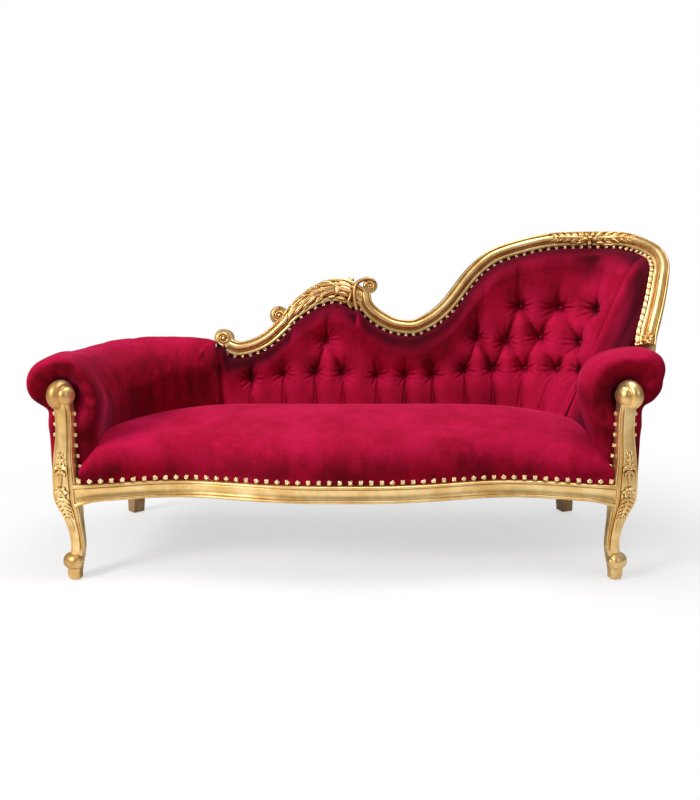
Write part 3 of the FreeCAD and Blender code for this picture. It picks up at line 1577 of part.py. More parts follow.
WING_CORNER_SHARE = 0.5
WING_LAP_SHARE = 0.25
WING_STEPS = 13
WING_START_SHARE = 0.3
WING_END_SHARE = 0.9
wing_frames = head_frames(WING_STEPS, WING_START_SHARE, WING_END_SHARE)
add_feature("wing_outside_cover", skin([wing_cover_section(share) for share in even_steps(WING_STEPS)]))


def dust_cover():
    # Black cloth tacked under the frame, clear of all four legs.
    top = frame_bottom
    front = size.front_rail_back + size.soft_gap
    back = size.back_reach - cover_inside - size.frame_rail_thickness / 2
    reach = long_reach
    cut = size.left_corner_radius + size.leg_block / 2
    near = front + size.block_reach
    points = [(-half_span + size.leg_block, front), (half_span - size.leg_block, front), (reach, near),
              (reach, back - cut), (half_span - cut / 2, back), (-half_span + cut / 2, back),
              (-reach, back - cut), (-reach, near)]
    return polygon_prism(points, top - size.dust_cover_thickness, top)


add_feature("dust_cover", dust_cover())


# Brass: dome-headed nails along every edge where velvet meets gilded wood, and glides under the feet

def rail_nails():
    reach = min(-end_plane_x(-1, 0), end_plane_x(1, 0)) - size.nail_radius * 2
    count = int(2 * reach / size.rail_nail_pitch) + 1
    nails = []
    line_shares = rebate_line()
    for x in even_steps(count, -reach, reach):
        near = table_value(line_shares, x - size.nail_radius)
        far = table_value(line_shares, x + size.nail_radius)
        axis = unit(Vec(far - near, -2 * size.nail_radius, 0))
        seat = Vec(x, (near + far) / 2, rail_top + size.rebate_height / 2)
        nails.append(nail(seat + axis * size.fit_gap, axis))
    return nails


def nails_along(frames, widths):
    # Nails on the tacking strip of a moulding.
    edge = size.tack_strip / 2
    seats = []
    for (point, along, front), width in zip(frames, widths):
        up = unit(front.cross(along))
        seats.append((point - up * (width / 2 - edge) + front * size.fit_gap, front))
    along_edge = [0]
    for before, after in zip(seats, seats[1:]):
        along_edge.append(along_edge[-1] + (after[0] - before[0]).Length)
    places = [(at, seat) for at, (seat, front) in zip(along_edge, seats)]
    fronts = [(at, front) for at, (seat, front) in zip(along_edge, seats)]
    count = max(int(along_edge[-1] / size.crest_nail_pitch), 2)
    half = along_edge[-1] / count / 2
    return [nail(table_value(places, at), unit(table_value(fronts, at)))
            for at in even_steps(count, half, along_edge[-1] - half)]


def post_nails(side):
    # Nails in the padded face, along both edges of the leg's shaft.
    inner, main = leg_axes(side)
    heights = [(leg_height(row[0]), row[1], row[2], row[3]) for row in LEG_PLACE_SHARES]
    start = frame_top + size.overrun * 1.5
    end = size.knob_height - size.knob_radius - size.nail_radius * 2
    count = int((end - start) / size.crest_nail_pitch) + 1
    nails = []
    for z in even_steps(count, start, end):
        outward_share = table_value([(row[0], row[1]) for row in heights], z)
        back_share = table_value([(row[0], row[2]) for row in heights], z)
        width = table_value([(row[0], row[3]) for row in heights], z) * size.leg_block
        centre = leg_centre(side, outward_share, back_share, z)
        for across in (1, -1):
            face = centre + inner * (across * width / 2)
            x = face.x - (size.arm_face - face.y) * inner.y / inner.x
            x -= side * across * (size.nail_radius + size.soft_gap)
            if abs(x) < outer_limit(z) and abs(x) > size.left_seat_x:
                nails.append(nail(Vec(x, size.arm_face - size.fit_gap, z), Vec(0, -1, 0)))
    return nails


def outer_limit(z):
    return side_x - cover_inside - size.arm_wall / 2 - size.nail_radius


add_feature("rail_nails", Part.makeCompound(rail_nails()))
add_feature("crest_nails", Part.makeCompound(nails_along(scroll_frames, scroll_widths)
                                             + nails_along(leaf_frames, leaf_widths)
                                             + nails_along(sweep_frames, sweep_widths)
                                             + nails_along(rail_frames, rail_widths)))
add_feature("stile_nails", Part.makeCompound(nails_along(stile_frames, stile_widths)))
for side, name in ((-1, "left"), (1, "right")):
    add_feature(name + "_post_nails", Part.makeCompound(post_nails(side)))


def glide(centre):
    # A nail-on disc, drawn with twelve sides.
    rim = []
    for step in range(12):
        angle = math.pi / 6 * step
        across = size.glide_radius * math.cos(angle)
        rim.append((centre.x + across, centre.y + size.glide_radius * math.sin(angle)))
    return polygon_prism(rim, 0, size.glide_height)


first_row = LEG_PLACE_SHARES[0]
glides = []
for side in (-1, 1):
    glides.append(glide(leg_centre(side, first_row[1], first_row[2], 0)))
    glides.append(glide(rear_leg_top(side) + Vec(side * size.rear_leg_splay, size.rear_leg_rake, 0)))
add_feature("foot_glides", Part.makeCompound(glides))


# Every object is checked before any file is written

doc.recompute()
for item in doc.Objects:
    if "Invalid" in item.State or "Error" in item.State:
        raise ValueError("%s failed: %s" % (item.Label, item.State))
unsound = [piece.Label for piece in pieces
           if piece.Shape.isNull() or not piece.Shape.isValid() or not piece.Shape.Solids]
if unsound:
    raise ValueError("no sound shape: " + ", ".join(unsound))

os.makedirs("parts", exist_ok=True)
whole = FreeCAD.BoundBox()
for piece in pieces:
    piece.Shape.exportStep("parts/%s.step" % piece.Label)
    whole.add(piece.Shape.BoundBox)
print("pieces", len(pieces))
print("size %.1f x %.1f x %.1f" % (whole.XLength, whole.YLength, whole.ZLength))
print("middle %.1f %.1f, foot %.2f" % (whole.Center.x, whole.Center.y, whole.ZMin))
for piece in pieces:
    part_box = piece.Shape.BoundBox
    print("%-22s solids %3d volume %10.0f  x %7.1f %7.1f  y %7.1f %7.1f  z %6.1f %6.1f" % (
        piece.Label, len(piece.Shape.Solids), piece.Shape.Volume, part_box.XMin, part_box.XMax,
        part_box.YMin, part_box.YMax, part_box.ZMin, part_box.ZMax))
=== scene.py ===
# %% [markdown]
# # A gilded chaise longue in crimson velvet
# The real piece is a carved and gilded frame with sprung, velvet-covered upholstery.
# The CAD frame holds every part at its true size, so it is loaded first and never moved.
# What shows is then rebuilt around it: carved mouldings, soft padding, nails and cloth.

# %% Load the frame
import json
import math
import time

import bpy
import numpy as np
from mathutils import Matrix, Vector


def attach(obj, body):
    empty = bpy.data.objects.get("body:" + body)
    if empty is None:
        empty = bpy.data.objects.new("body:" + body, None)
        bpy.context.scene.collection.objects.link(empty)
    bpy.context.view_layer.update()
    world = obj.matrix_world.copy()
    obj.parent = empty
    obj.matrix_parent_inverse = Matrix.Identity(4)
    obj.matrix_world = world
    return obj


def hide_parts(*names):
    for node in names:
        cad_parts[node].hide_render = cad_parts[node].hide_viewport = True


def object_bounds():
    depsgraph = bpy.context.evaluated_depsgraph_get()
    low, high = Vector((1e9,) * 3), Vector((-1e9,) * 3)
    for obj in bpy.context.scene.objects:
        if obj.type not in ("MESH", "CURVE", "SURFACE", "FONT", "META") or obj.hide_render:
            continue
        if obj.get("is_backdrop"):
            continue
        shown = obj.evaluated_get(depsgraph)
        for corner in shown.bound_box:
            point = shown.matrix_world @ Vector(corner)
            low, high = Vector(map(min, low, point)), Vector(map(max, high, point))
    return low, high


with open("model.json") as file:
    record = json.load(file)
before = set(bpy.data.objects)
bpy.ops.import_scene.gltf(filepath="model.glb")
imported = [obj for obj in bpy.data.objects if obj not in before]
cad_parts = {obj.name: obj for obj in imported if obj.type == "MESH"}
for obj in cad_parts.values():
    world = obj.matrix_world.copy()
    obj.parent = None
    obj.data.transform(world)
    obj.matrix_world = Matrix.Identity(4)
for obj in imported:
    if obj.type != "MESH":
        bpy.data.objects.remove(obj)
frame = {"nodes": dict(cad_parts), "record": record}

cad_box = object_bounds()
scene = bpy.context.scene
print("CAD box in metres", cad_box)

# %% [markdown]
# The maker measures in millimetres from the middle of the front feet, with the toes at zero depth.
# The frame's own zero is the middle of its box, so one offset and one scale lead from one to the other.

# %% Millimetres to the frame
MM = 0.001
MIDDLE = np.array((63.4, 318.9, 0.0))


def vec(*numbers):
    return np.array(numbers, dtype=float)


def unit(vectors):
    vectors = np.asarray(vectors, dtype=float)
    return vectors / np.maximum(np.linalg.norm(vectors, axis=-1, keepdims=True), 1e-9)


def to_frame(points):
    return (np.asarray(points) - MIDDLE) * MM


def from_frame(points):
    return np.asarray(points) / MM + MIDDLE


print("the frame's zero stands at", MIDDLE)

# %% [markdown]
# Shader maths reads best as plain expressions.
# Typing out a node and its links for every sum would bury the idea of a finish in wiring.
# A small class wraps a socket instead, and each operator on it adds the Math node that does the work.

# %% Sockets as numbers
class Value:
    def __init__(self, nodes, socket):
        self.nodes = nodes
        self.socket = socket

    def math(self, operation, first, second):
        return self.nodes.node("ShaderNodeMath", {"operation": operation}, {0: first, 1: second})

    def __add__(self, other):
        return self.math("ADD", self, other)

    def __mul__(self, other):
        return self.math("MULTIPLY", self, other)

    def __sub__(self, other):
        return self.math("SUBTRACT", self, other)

    def __rsub__(self, other):
        return self.math("SUBTRACT", other, self)

    __radd__ = __add__
    __rmul__ = __mul__

    def larger(self, other):
        return self.math("MAXIMUM", self, other)

    def between(self, low, high):
        inputs = {"Value": self, "From Min": low, "From Max": high}
        return self.nodes.node("ShaderNodeMapRange", {"interpolation_type": "SMOOTHSTEP"}, inputs)


# %% [markdown]
# Nodes holds one node tree, a material's or the world's, and adds every other kind of node by one method.
# A Paint is the tree of one material: it knows the object's own coordinates, so a pattern keeps its size
# on every piece and needs no unwrapping.

# %% Node trees and paints
class Nodes:
    def __init__(self, tree):
        self.tree = tree

    def node(self, kind, settings, inputs, output=0):
        made = self.tree.nodes.new(kind)
        for name, value in settings.items():
            setattr(made, name, value)
        for key, value in inputs.items():
            self.give(made.inputs[key], value)
        return Value(self, made.outputs[output])

    def give(self, socket, value):
        if isinstance(value, Value):
            self.tree.links.new(value.socket, socket)
        else:
            socket.default_value = value


class Paint(Nodes):
    def __init__(self, name):
        self.material = bpy.data.materials.new(name)
        self.material.use_nodes = True
        super().__init__(self.material.node_tree)
        self.shader = self.tree.nodes["Principled BSDF"]
        self.points = self.node("ShaderNodeTexCoord", {}, {}, "Object")

    def noise(self, scale, detail=3, rough=0.5, stretch=None):
        points = self.points
        if stretch:
            points = self.node("ShaderNodeMapping", {}, {"Vector": points, "Scale": stretch})
        inputs = {"Vector": points, "Scale": scale, "Detail": detail, "Roughness": rough}
        return self.node("ShaderNodeTexNoise", {}, inputs)

    def mix(self, share, first, second):
        first = first if isinstance(first, Value) else (*first, 1)
        second = second if isinstance(second, Value) else (*second, 1)
        return self.node("ShaderNodeMix", {"data_type": "RGBA"}, {0: share, 6: first, 7: second}, 2)

    def bump(self, height, strength, distance):
        return self.node("ShaderNodeBump", {}, {"Height": height, "Strength": strength, "Distance": distance})

    def hollow(self):
        # The number that each carved or padded piece stores: how far a point lies below its neighbours, with
        # painted shade added in some corners; the finishes paint shade by it.
        return self.node("ShaderNodeAttribute", {"attribute_name": "hollow"}, {}, "Fac")

    def set(self, **inputs):
        for name, value in inputs.items():
            self.give(self.shader.inputs[name.replace("_", " ")], value)
        return self.material


# %% [markdown]
# Gold leaf is a metal skin over red-brown clay.
# The finish paints shade into the hollows of the carving and turns the gold brown there, while high places
# keep the pale gold.
# Each carved piece stores how hollow it is at every point, and the finish reads that number.

# %% Gold leaf
def gold_leaf():
    paint = Paint("gold_leaf")
    hollow = paint.hollow()
    clouds = paint.noise(14, 4)
    leaf = paint.noise(60, 5, 0.65)
    grain = paint.noise(700, 2)
    # Painted shade: the deeper a point lies in the carving, the browner and less metallic the gold.
    depth = (hollow + (leaf - 0.5) * 0.4).between(0.02, 0.62)
    bright = paint.mix(clouds.between(0.3, 0.7), (0.66, 0.4, 0.13), (0.9, 0.66, 0.31))
    gold_with_painted_shade = paint.mix(depth, bright, (0.27, 0.085, 0.016))
    shine = 0.27 + clouds * 0.16 + depth * 0.3
    height = leaf * 0.5 + grain * 0.3 + clouds
    return paint.set(Base_Color=gold_with_painted_shade, Metallic=0.93 - depth * 0.35, Roughness=shine,
                     Normal=paint.bump(height, 0.25, 0.0012))


gold = gold_leaf()
print("gold leaf ready")

# %% [markdown]
# Velvet is a short dense pile.
# It looks dark where the eye looks into the pile and bright pink where the pile is seen from the side,
# which the sheen of the shader gives.
# Broad soft clouds are places where the pile was stroked another way, and the fine grain is the pile itself.
# The colour also carries painted light and shade: lighter where the surface faces up and to the left, darker
# in pleats, pits and corners, and lighter on ridges.

# %% Crimson velvet
def velvet():
    paint = Paint("crimson_velvet")
    hollow = paint.hollow()
    stroked = paint.noise(7, 3, 0.55)
    brushed = paint.noise(30, 4, 0.6, stretch=(1, 1, 0.35))
    mottled = paint.noise(85, 4, 0.65)
    pile = paint.noise(1500, 2)
    normal = paint.node("ShaderNodeNewGeometry", {}, {}, "Normal")
    upward = paint.node("ShaderNodeSeparateXYZ", {}, {"Vector": normal}, "Z")
    sideways = paint.node("ShaderNodeSeparateXYZ", {}, {"Vector": normal}, "X")
    lay = (stroked * 0.5 + brushed * 0.3 + mottled * 0.2).between(0.37, 0.63)
    # Painted light and shade: the colour is lighter on surfaces that face up and to the left, towards the
    # lamps, and darker on those facing down or right.
    painted_light_by_facing = (upward * 0.5 + 0.5 - sideways * 0.3).between(0.35, 1.0)
    # The first colour is the painted shaded side, the second the painted lit side.
    dark = paint.mix(lay, (0.06, 0.0001, 0.002), (0.21, 0.0006, 0.008))
    high = paint.mix(lay, (0.3, 0.002, 0.022), (0.44, 0.006, 0.05))
    colour = paint.mix(painted_light_by_facing, dark, high)
    # Painted shade: the colour goes nearly black in pleats, pits and corners, by the stored hollow number.
    colour = paint.mix(hollow.between(0.06, 1.05), colour, (0.03, 0.0, 0.0015))
    # Painted highlight: where the stored number is below zero, on ridges and lower on the back, the colour is
    # lighter.
    colour = paint.mix((hollow * -1.0).between(0.05, 0.8) * 0.6, colour, (0.5, 0.008, 0.055))
    height = pile * 0.4 + brushed * 0.6
    return paint.set(Base_Color=colour, Roughness=0.72 + lay * 0.12, Specular_IOR_Level=0.04,
                     Sheen_Weight=0.38, Sheen_Roughness=0.42, Sheen_Tint=(1.0, 0.06, 0.22, 1),
                     Normal=paint.bump(height, 0.2, 0.0006))


crimson = velvet()
print("velvet ready")

# %% [markdown]
# The smaller finishes: polished brass heads, the rear legs' gilding as a dull brown with painted shade in it,
# plain beech, jute, wadding, black dust cloth and zinc-plated steel.

# %% The other finishes
def brass_heads():
    paint = Paint("brass_heads")
    worn = paint.noise(220, 3)
    colour = paint.mix(worn.between(0.35, 0.7), (0.95, 0.8, 0.52), (0.78, 0.57, 0.28))
    return paint.set(Base_Color=colour, Metallic=1.0, Roughness=0.24 + worn * 0.22)


def planed_wood(name, light, dark, rough):
    paint = Paint(name)
    warp = paint.noise(4, 2)
    rings = paint.noise(30, 5, 0.6, stretch=(1, 1, 0.12))
    pores = paint.noise(380, 2, stretch=(1, 1, 0.06))
    grain = (rings * 0.7 + warp * 0.3).between(0.35, 0.65)
    colour = paint.mix(grain, light, dark)
    return paint.set(Base_Color=colour, Roughness=rough + pores * 0.15,
                     Normal=paint.bump(pores * 0.6 + rings * 0.4, 0.3, 0.0008))


def cloth(name, light, dark, scale, rough):
    paint = Paint(name)
    inputs = {"Vector": paint.points, "Scale": scale}
    warp, weft = [paint.node("ShaderNodeTexWave", {"bands_direction": way}, inputs, "Fac") for way in "XY"]
    slubs = paint.noise(90, 4)
    weave = warp * 0.5 + weft * 0.5
    colour = paint.mix((weave * 0.6 + slubs * 0.4).between(0.25, 0.75), dark, light)
    return paint.set(Base_Color=colour, Roughness=rough + slubs * 0.1, Normal=paint.bump(weave, 0.35, 0.0008))


def plated_steel():
    paint = Paint("plated_steel")
    spangle = paint.noise(160, 3)
    colour = paint.mix(spangle, (0.5, 0.5, 0.52), (0.68, 0.68, 0.7))
    return paint.set(Base_Color=colour, Metallic=1.0, Roughness=0.3 + spangle * 0.25)


brass = brass_heads()
# The rear legs take a darker, browner, unmetallic copy of the gilding: painted shade.
rear_gilding_painted_shade = planed_wood("rear_gilding_painted_shade", (0.46, 0.27, 0.1), (0.25, 0.12, 0.04), 0.4)
beech = planed_wood("planed_beech", (0.62, 0.44, 0.27), (0.46, 0.29, 0.15), 0.55)
jute = cloth("woven_jute", (0.6, 0.47, 0.3), (0.36, 0.26, 0.14), 260, 0.85)
stuffing = cloth("wadding", (0.82, 0.78, 0.68), (0.66, 0.6, 0.48), 90, 0.9)
dust_cloth = cloth("black_dust_cloth", (0.05, 0.05, 0.052), (0.02, 0.02, 0.022), 400, 0.9)
steel = plated_steel()
print("finishes", [paint.name for paint in (brass, rear_gilding_painted_shade, beech, jute, stuffing, dust_cloth, steel)])

# %% [markdown]
# Every carved or padded surface here is a grid of points: rows along the piece, columns round it.
# Sculpting by hand would give softer accidents, but a grid follows a drawn line exactly and can be resized.
# Quads join the rows, the columns close into a ring, and each end gets a fan, so each piece is a closed skin.

# %% Grids and skins
def grid_quads(rows, columns):
    row = np.arange(rows - 1)[:, None]
    column = np.arange(columns)[None, :]
    after = (column + 1) % columns
    near, far = row * columns, (row + 1) * columns
    corners = np.broadcast_arrays(near + column, near + after, far + after, far + column)
    return np.stack(corners, axis=-1).reshape(-1, 4).tolist()


def closed_skin(sections):
    # Sections of equal length, joined along the piece and closed by a fan at each end.
    sections = np.asarray(sections)
    rows, columns = sections.shape[:2]
    ends = [sections[0].mean(axis=0), sections[-1].mean(axis=0)]
    points = np.concatenate([sections.reshape(-1, 3), ends])
    faces = grid_quads(rows, columns)
    first = rows * columns
    last = (rows - 1) * columns
    for column in range(columns):
        after = (column + 1) % columns
        faces.append([first, after, column])
        faces.append([first + 1, last + column, last + after])
    return points, faces


def joined(parts):
    # Several meshes as one list of points and one list of faces.
    points = []
    faces = []
    start = 0
    for part_points, part_faces in parts:
        points.append(part_points)
        faces += [[index + start for index in face] for face in part_faces]
        start += len(part_points)
    return np.concatenate(points), faces


# %% [markdown]
# Carving looks deep when its hollows are darker than its tops, and here that shade is painted into the
# colour.
# Each mesh is smoothed in a copy, and every point stores how far it lies below that smooth surface.
# The same number paints shade into the velvet's pleats and a highlight onto its ridges.

# %% Smoothing and hollows
def edge_pairs(mesh):
    pairs = np.empty(len(mesh.edges) * 2, dtype=np.int64)
    mesh.edges.foreach_get("vertices", pairs)
    return pairs.reshape(-1, 2)


def mesh_points(mesh):
    points = np.empty(len(mesh.vertices) * 3)
    mesh.vertices.foreach_get("co", points)
    return points.reshape(-1, 3)


def smoothed(points, pairs, rounds):
    # Each round moves a point halfway to the mean of its neighbours.
    count = np.maximum(np.bincount(pairs.ravel(), minlength=len(points)), 1)[:, None]
    points = points.copy()
    for _ in range(rounds):
        total = np.empty_like(points)
        for axis in range(points.shape[1]):
            total[:, axis] = (np.bincount(pairs[:, 0], points[pairs[:, 1], axis], len(points))
                              + np.bincount(pairs[:, 1], points[pairs[:, 0], axis], len(points)))
        points += (total / count - points) * 0.5
    return points


def store_hollows(mesh, rounds, depth):
    # How far each point lies below the smoothed surface, as a share of a depth in millimetres.
    points = mesh_points(mesh)
    normals = np.array([vertex.normal for vertex in mesh.vertices])
    sunk = ((smoothed(points, edge_pairs(mesh), rounds) - points) * normals).sum(axis=1) / MM / depth
    soft = smoothed(sunk[:, None], edge_pairs(mesh), 2)[:, 0]
    mesh.attributes.new("hollow", "FLOAT", "POINT").data.foreach_set("value", np.clip(soft, -1, 1))


def add_painted_light_and_shade(piece, amount):
    # Adds painted shade to the stored hollows, where the velvet lies in a tight corner; a negative amount
    # adds painted light.
    data = piece.data.attributes["hollow"].data
    values = np.empty(len(data))
    data.foreach_get("value", values)
    data.foreach_set("value", np.clip(np.maximum(values, -0.3) + amount, -1, 1))


def outside_in(mesh):
    # Faces that look inwards are turned over, by the sign of the volume they enclose.
    mesh.calc_loop_triangles()
    corners = np.empty(len(mesh.loop_triangles) * 3, dtype=np.int64)
    mesh.loop_triangles.foreach_get("vertices", corners)
    first, second, third = mesh_points(mesh)[corners.reshape(-1, 3)].transpose(1, 0, 2)
    if np.einsum("ij,ij->i", first, np.cross(second, third)).sum() < 0:
        mesh.flip_normals()


# %% [markdown]
# A piece becomes an object in the scene, rides on the one body of the frame, takes its finish
# and hides the CAD nodes that it stands for.

# %% Adding a piece
def add_piece(name, skin, finish, instead, sharp=60, hollows=None):
    points, faces = skin
    mesh = bpy.data.meshes.new(name)
    mesh.from_pydata(to_frame(points).tolist(), [], faces)
    outside_in(mesh)
    mesh.polygons.foreach_set("use_smooth", [True] * len(mesh.polygons))
    mesh.set_sharp_from_angle(angle=math.radians(sharp))
    mesh.materials.append(finish)
    if hollows:
        store_hollows(mesh, *hollows)
    piece = bpy.data.objects.new(name, mesh)
    scene.collection.objects.link(piece)
    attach(piece, "root")
    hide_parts(*instead)
    print("%-22s %6d faces" % (name, len(mesh.polygons)))
    return piece


def gilded(name, skin, node, hollows=(12, 2.6)):
    return add_piece(name, skin, gold, (node,), hollows=hollows)


def upholstered(name, skin, nodes, hollows=None):
    piece = add_piece(name, skin, crimson, nodes, hollows=hollows)
    return piece


# %% [markdown]
# A carver draws the crest with a few points and a supple lath.
# A cubic spline with even steps does the same: it passes every point and bends as little as it can.

# %% A supple lath
class Lath:
    def __init__(self, points):
        self.points = np.array(points, dtype=float)
        count = len(self.points)
        beside = np.ones(count - 1)
        matrix = np.diag(np.full(count, 4.0)) + np.diag(beside, 1) + np.diag(beside, -1)
        matrix[0, 0] = matrix[-1, -1] = 2
        rise = np.empty_like(self.points)
        rise[1:-1] = 3 * (self.points[2:] - self.points[:-2])
        rise[0] = 3 * (self.points[1] - self.points[0])
        rise[-1] = 3 * (self.points[-1] - self.points[-2])
        self.slopes = np.linalg.solve(matrix, rise)

    def split(self, shares):
        place = np.clip(np.asarray(shares, dtype=float), 0, 1) * (len(self.points) - 1)
        index = np.minimum(place.astype(int), len(self.points) - 2)
        return index, (place - index)[..., None]

    def at(self, shares):
        index, t = self.split(shares)
        first, second = self.points[index], self.points[index + 1]
        leave, arrive = self.slopes[index], self.slopes[index + 1]
        return (first * (2 * t ** 3 - 3 * t ** 2 + 1) + second * (3 * t ** 2 - 2 * t ** 3)
                + leave * (t ** 3 - 2 * t ** 2 + t) + arrive * (t ** 3 - t ** 2))

    def along(self, shares):
        index, t = self.split(shares)
        first, second = self.points[index], self.points[index + 1]
        leave, arrive = self.slopes[index], self.slopes[index + 1]
        return unit((second - first) * (6 * t - 6 * t ** 2) + leave * (3 * t ** 2 - 4 * t + 1)
                    + arrive * (3 * t ** 2 - 2 * t))


def table(rows, at):
    # Reads a table of two columns between its rows.
    rows = np.array(rows, dtype=float)
    return np.interp(at, rows[:, 0], rows[:, 1])


def smooth_step(value, low, high):
    share = np.clip((np.asarray(value, dtype=float) - low) / (high - low), 0, 1)
    return share * share * (3 - 2 * share)


print("a lath through three pins passes", Lath([(0, 0), (1, 2), (2, 0)]).at(0.5))

# %% [markdown]
# The front rail bows out in the middle and draws in on both sides, so its face is a wave along the seat.
# Its section has a fine bead at the foot, a hollow face and a second bead under the nails.

# %% Serpentine front rail
HALF_SPAN = 765
RAIL_UNDER, RAIL_TOP, FRAME_TOP = 232, 282, 300
RAIL_FACE = RAIL_TOP - RAIL_UNDER
RAIL_BACK = 74.5
REBATE = 14
BEAD_WIDE, BEAD_PROUD, QUIRK_DEEP = 7.5, 3.2, 1.8


def rail_face_y(x):
    share = np.minimum(np.abs(x) / HALF_SPAN, 1)
    return -34 + 16 * share ** 2 + 60 * np.sin(np.pi * share ** 1.4) ** 2


def rail_under_z(x):
    return RAIL_UNDER - 22 * (np.maximum(np.abs(x) / HALF_SPAN - 0.88, 0) / 0.12) ** 2


def half_round(share, power=0.5):
    return np.maximum(1 - (2 * np.clip(share, 0, 1) - 1) ** 2, 0) ** power


def rail_skin():
    height = np.concatenate([np.linspace(0, 14, 15), np.linspace(15, 35, 12), np.linspace(36, 50, 15)])
    beads = BEAD_PROUD * sum(half_round((height - start) / BEAD_WIDE) for start in (1, 41.5))
    quirks = QUIRK_DEEP * sum(np.exp(-((height - place) / 1.3) ** 2) for place in (10, 40))
    cove = 3.2 * half_round((height - 11) / 28, 1)
    depth = 4.2 - beads + quirks + cove
    depth[0] += 2
    depth[-1] += 1.5
    sections = []
    for x in np.linspace(-760, 760, 420):
        low = rail_under_z(x)
        y = rail_face_y(x)
        z = low + height / RAIL_FACE * (RAIL_TOP - low)
        face = np.stack([np.full_like(z, x), y + depth, z], axis=1)
        back = [(x, y + REBATE, RAIL_TOP), (x, y + REBATE, FRAME_TOP),
                (x, RAIL_BACK, FRAME_TOP), (x, RAIL_BACK, low)]
        sections.append(np.concatenate([face, back]))
    return closed_skin(sections)


gilded("front_rail_carved", rail_skin(), "front_rail", (14, 2.2))

# %% [markdown]
# The crest is one moulding in four lengths: a scroll, a leaf-carved rise, a long sweep and the head.
# Each length has a line to follow and a direction to face.
# From its lower edge up, the section is a tacking strip, a fillet, a dark quirk, a big half-round and a bead.

# %% The lines of the crest
RAKE, OUTSIDE_RAKE = math.radians(6.5), math.radians(3.4)
CREST_FOOT, BACK_REACH = 575, 636
CREST_NORMAL = vec(0, -math.cos(RAKE), math.sin(RAKE))
CREST_UP = vec(0, math.sin(RAKE), math.cos(RAKE))
SEAT_EDGE = 398
HEAD_HEIGHT = 976
SPAN = 1530
PLAIN_WIDTH, LEAF_WIDTH = 57.5, 62
STRIP = 11
COVER_THICK = 3.5


def crest_face_y(z):
    return CREST_FOOT + (np.asarray(z, dtype=float) - SEAT_EDGE) * math.tan(RAKE)


def outside_back_y(z):
    return BACK_REACH + (np.asarray(z, dtype=float) - RAIL_UNDER) * math.tan(OUTSIDE_RAKE)


def crest_thickness(z):
    return (outside_back_y(z) - COVER_THICK - crest_face_y(z)) * math.cos(RAKE)


def crest_point(x_share, z_share):
    z = z_share * HEAD_HEIGHT
    return vec(x_share * SPAN, crest_face_y(z), z)


# Places along the crest, as shares of the span and of the head's height
SCROLL_LINE = [(-0.2614, 0.6086), (-0.2431, 0.5973), (-0.2222, 0.5994), (-0.1961, 0.6117),
               (-0.168, 0.6363), (-0.1458, 0.667), (-0.134, 0.6844), (-0.1285, 0.6926)]
LEAF_LINE = [(-0.1307, 0.6926), (-0.1124, 0.7234), (-0.0915, 0.751), (-0.0686, 0.7756),
             (-0.0458, 0.791), (-0.0229, 0.7982), (-0.002, 0.7941), (0.0170, 0.7800), (0.0350, 0.7640)]
LEAF_WIDTHS = [0.84, 0.97, 1.1, 1.2, 1.32, 1.4, 1.45, 1.42, 1.3]
SWEEP_LINE = [(0.035, 0.794), (0.0415, 0.75), (0.0600, 0.7172), (0.0830, 0.6937), (0.1078, 0.6773),
              (0.1412, 0.6711), (0.1634, 0.6783), (0.1856, 0.6957), (0.2078, 0.7203), (0.2294, 0.7531),
              (0.2484, 0.791), (0.2647, 0.8258), (0.281, 0.8566), (0.2993, 0.8842), (0.3203, 0.9088),
              (0.3399, 0.9232)]
# The head has two shares more: how far forward of the raked face it stands, and the way it faces
HEAD_LINE = [
    (0.3399, 1.0000, 0.9232, (0, -1, 0.11)), (0.3608, 1.0000, 0.9344, (0, -1, 0.11)),
    (0.4039, 1.0000, 0.9529, (0, -1, 0.11)), (0.4484, 1.0000, 0.9662, (0, -1, 0.11)),
    (0.4837, 0.9995, 0.9703, (0, -1, 0.11)), (0.5260, 0.9940, 0.9716, (-0.01, -1, 0.11)),
    (0.5656, 0.9754, 0.9716, (-0.03, -1, 0.12)), (0.5921, 0.9255, 0.9699, (-0.08, -1, 0.15)),
    (0.6123, 0.8485, 0.9601, (-0.15, -1, 0.2)), (0.6254, 0.7562, 0.9450, (-0.2, -0.95, 0.3)),
    (0.6327, 0.6642, 0.9238, (-0.25, -0.9, 0.42)), (0.6299, 0.5804, 0.8921, (-0.27, -0.85, 0.5)),
    (0.6193, 0.5119, 0.8585, (-0.27, -0.8, 0.55)), (0.6022, 0.4233, 0.8030, (-0.25, -0.78, 0.58)),
    (0.5845, 0.3426, 0.7494, (-0.25, -0.78, 0.58)), (0.5694, 0.2763, 0.7049, (-0.25, -0.78, 0.58)),
    (0.5614, 0.2301, 0.6683, (-0.25, -0.78, 0.58)),
]

# %% [markdown]
# A moulding needs more than a line: at each station it faces one way and has a width and a thickness.
# The flat lengths all face square to the raked back, while the head turns forward round its corner.

# %% Rails along the lines
class Rail:
    # A length of moulding: its centre line, the way it faces, its width and its thickness.
    def __init__(self, count, points, facings, widths, thick=None):
        shares = np.linspace(0, 1, count)
        self.points = points(shares)
        self.along = unit(np.gradient(self.points, axis=0))
        facing = facings(shares)
        self.front = unit(facing - self.along * (facing * self.along).sum(axis=1, keepdims=True))
        self.up = np.cross(self.front, self.along)
        self.widths = widths(shares)
        self.thick = crest_thickness(self.points[:, 2]) if thick is None else np.full(count, thick)
        steps = np.linalg.norm(np.diff(self.points, axis=0), axis=1)
        self.run = np.concatenate([[0], np.cumsum(steps)])

    def line(self, from_low, proud=0):
        # The line at a distance up from the lower edge.
        return self.points + self.up * (from_low - self.widths / 2)[:, None] + self.front * proud


def flat_rail(line, count, widths):
    lath = Lath([crest_point(*row) for row in line])
    steps = np.linspace(0, 1, len(widths))
    return Rail(count, lath.at, lambda at: np.tile(CREST_NORMAL, (len(at), 1)),
                lambda at: np.interp(at, steps, widths))


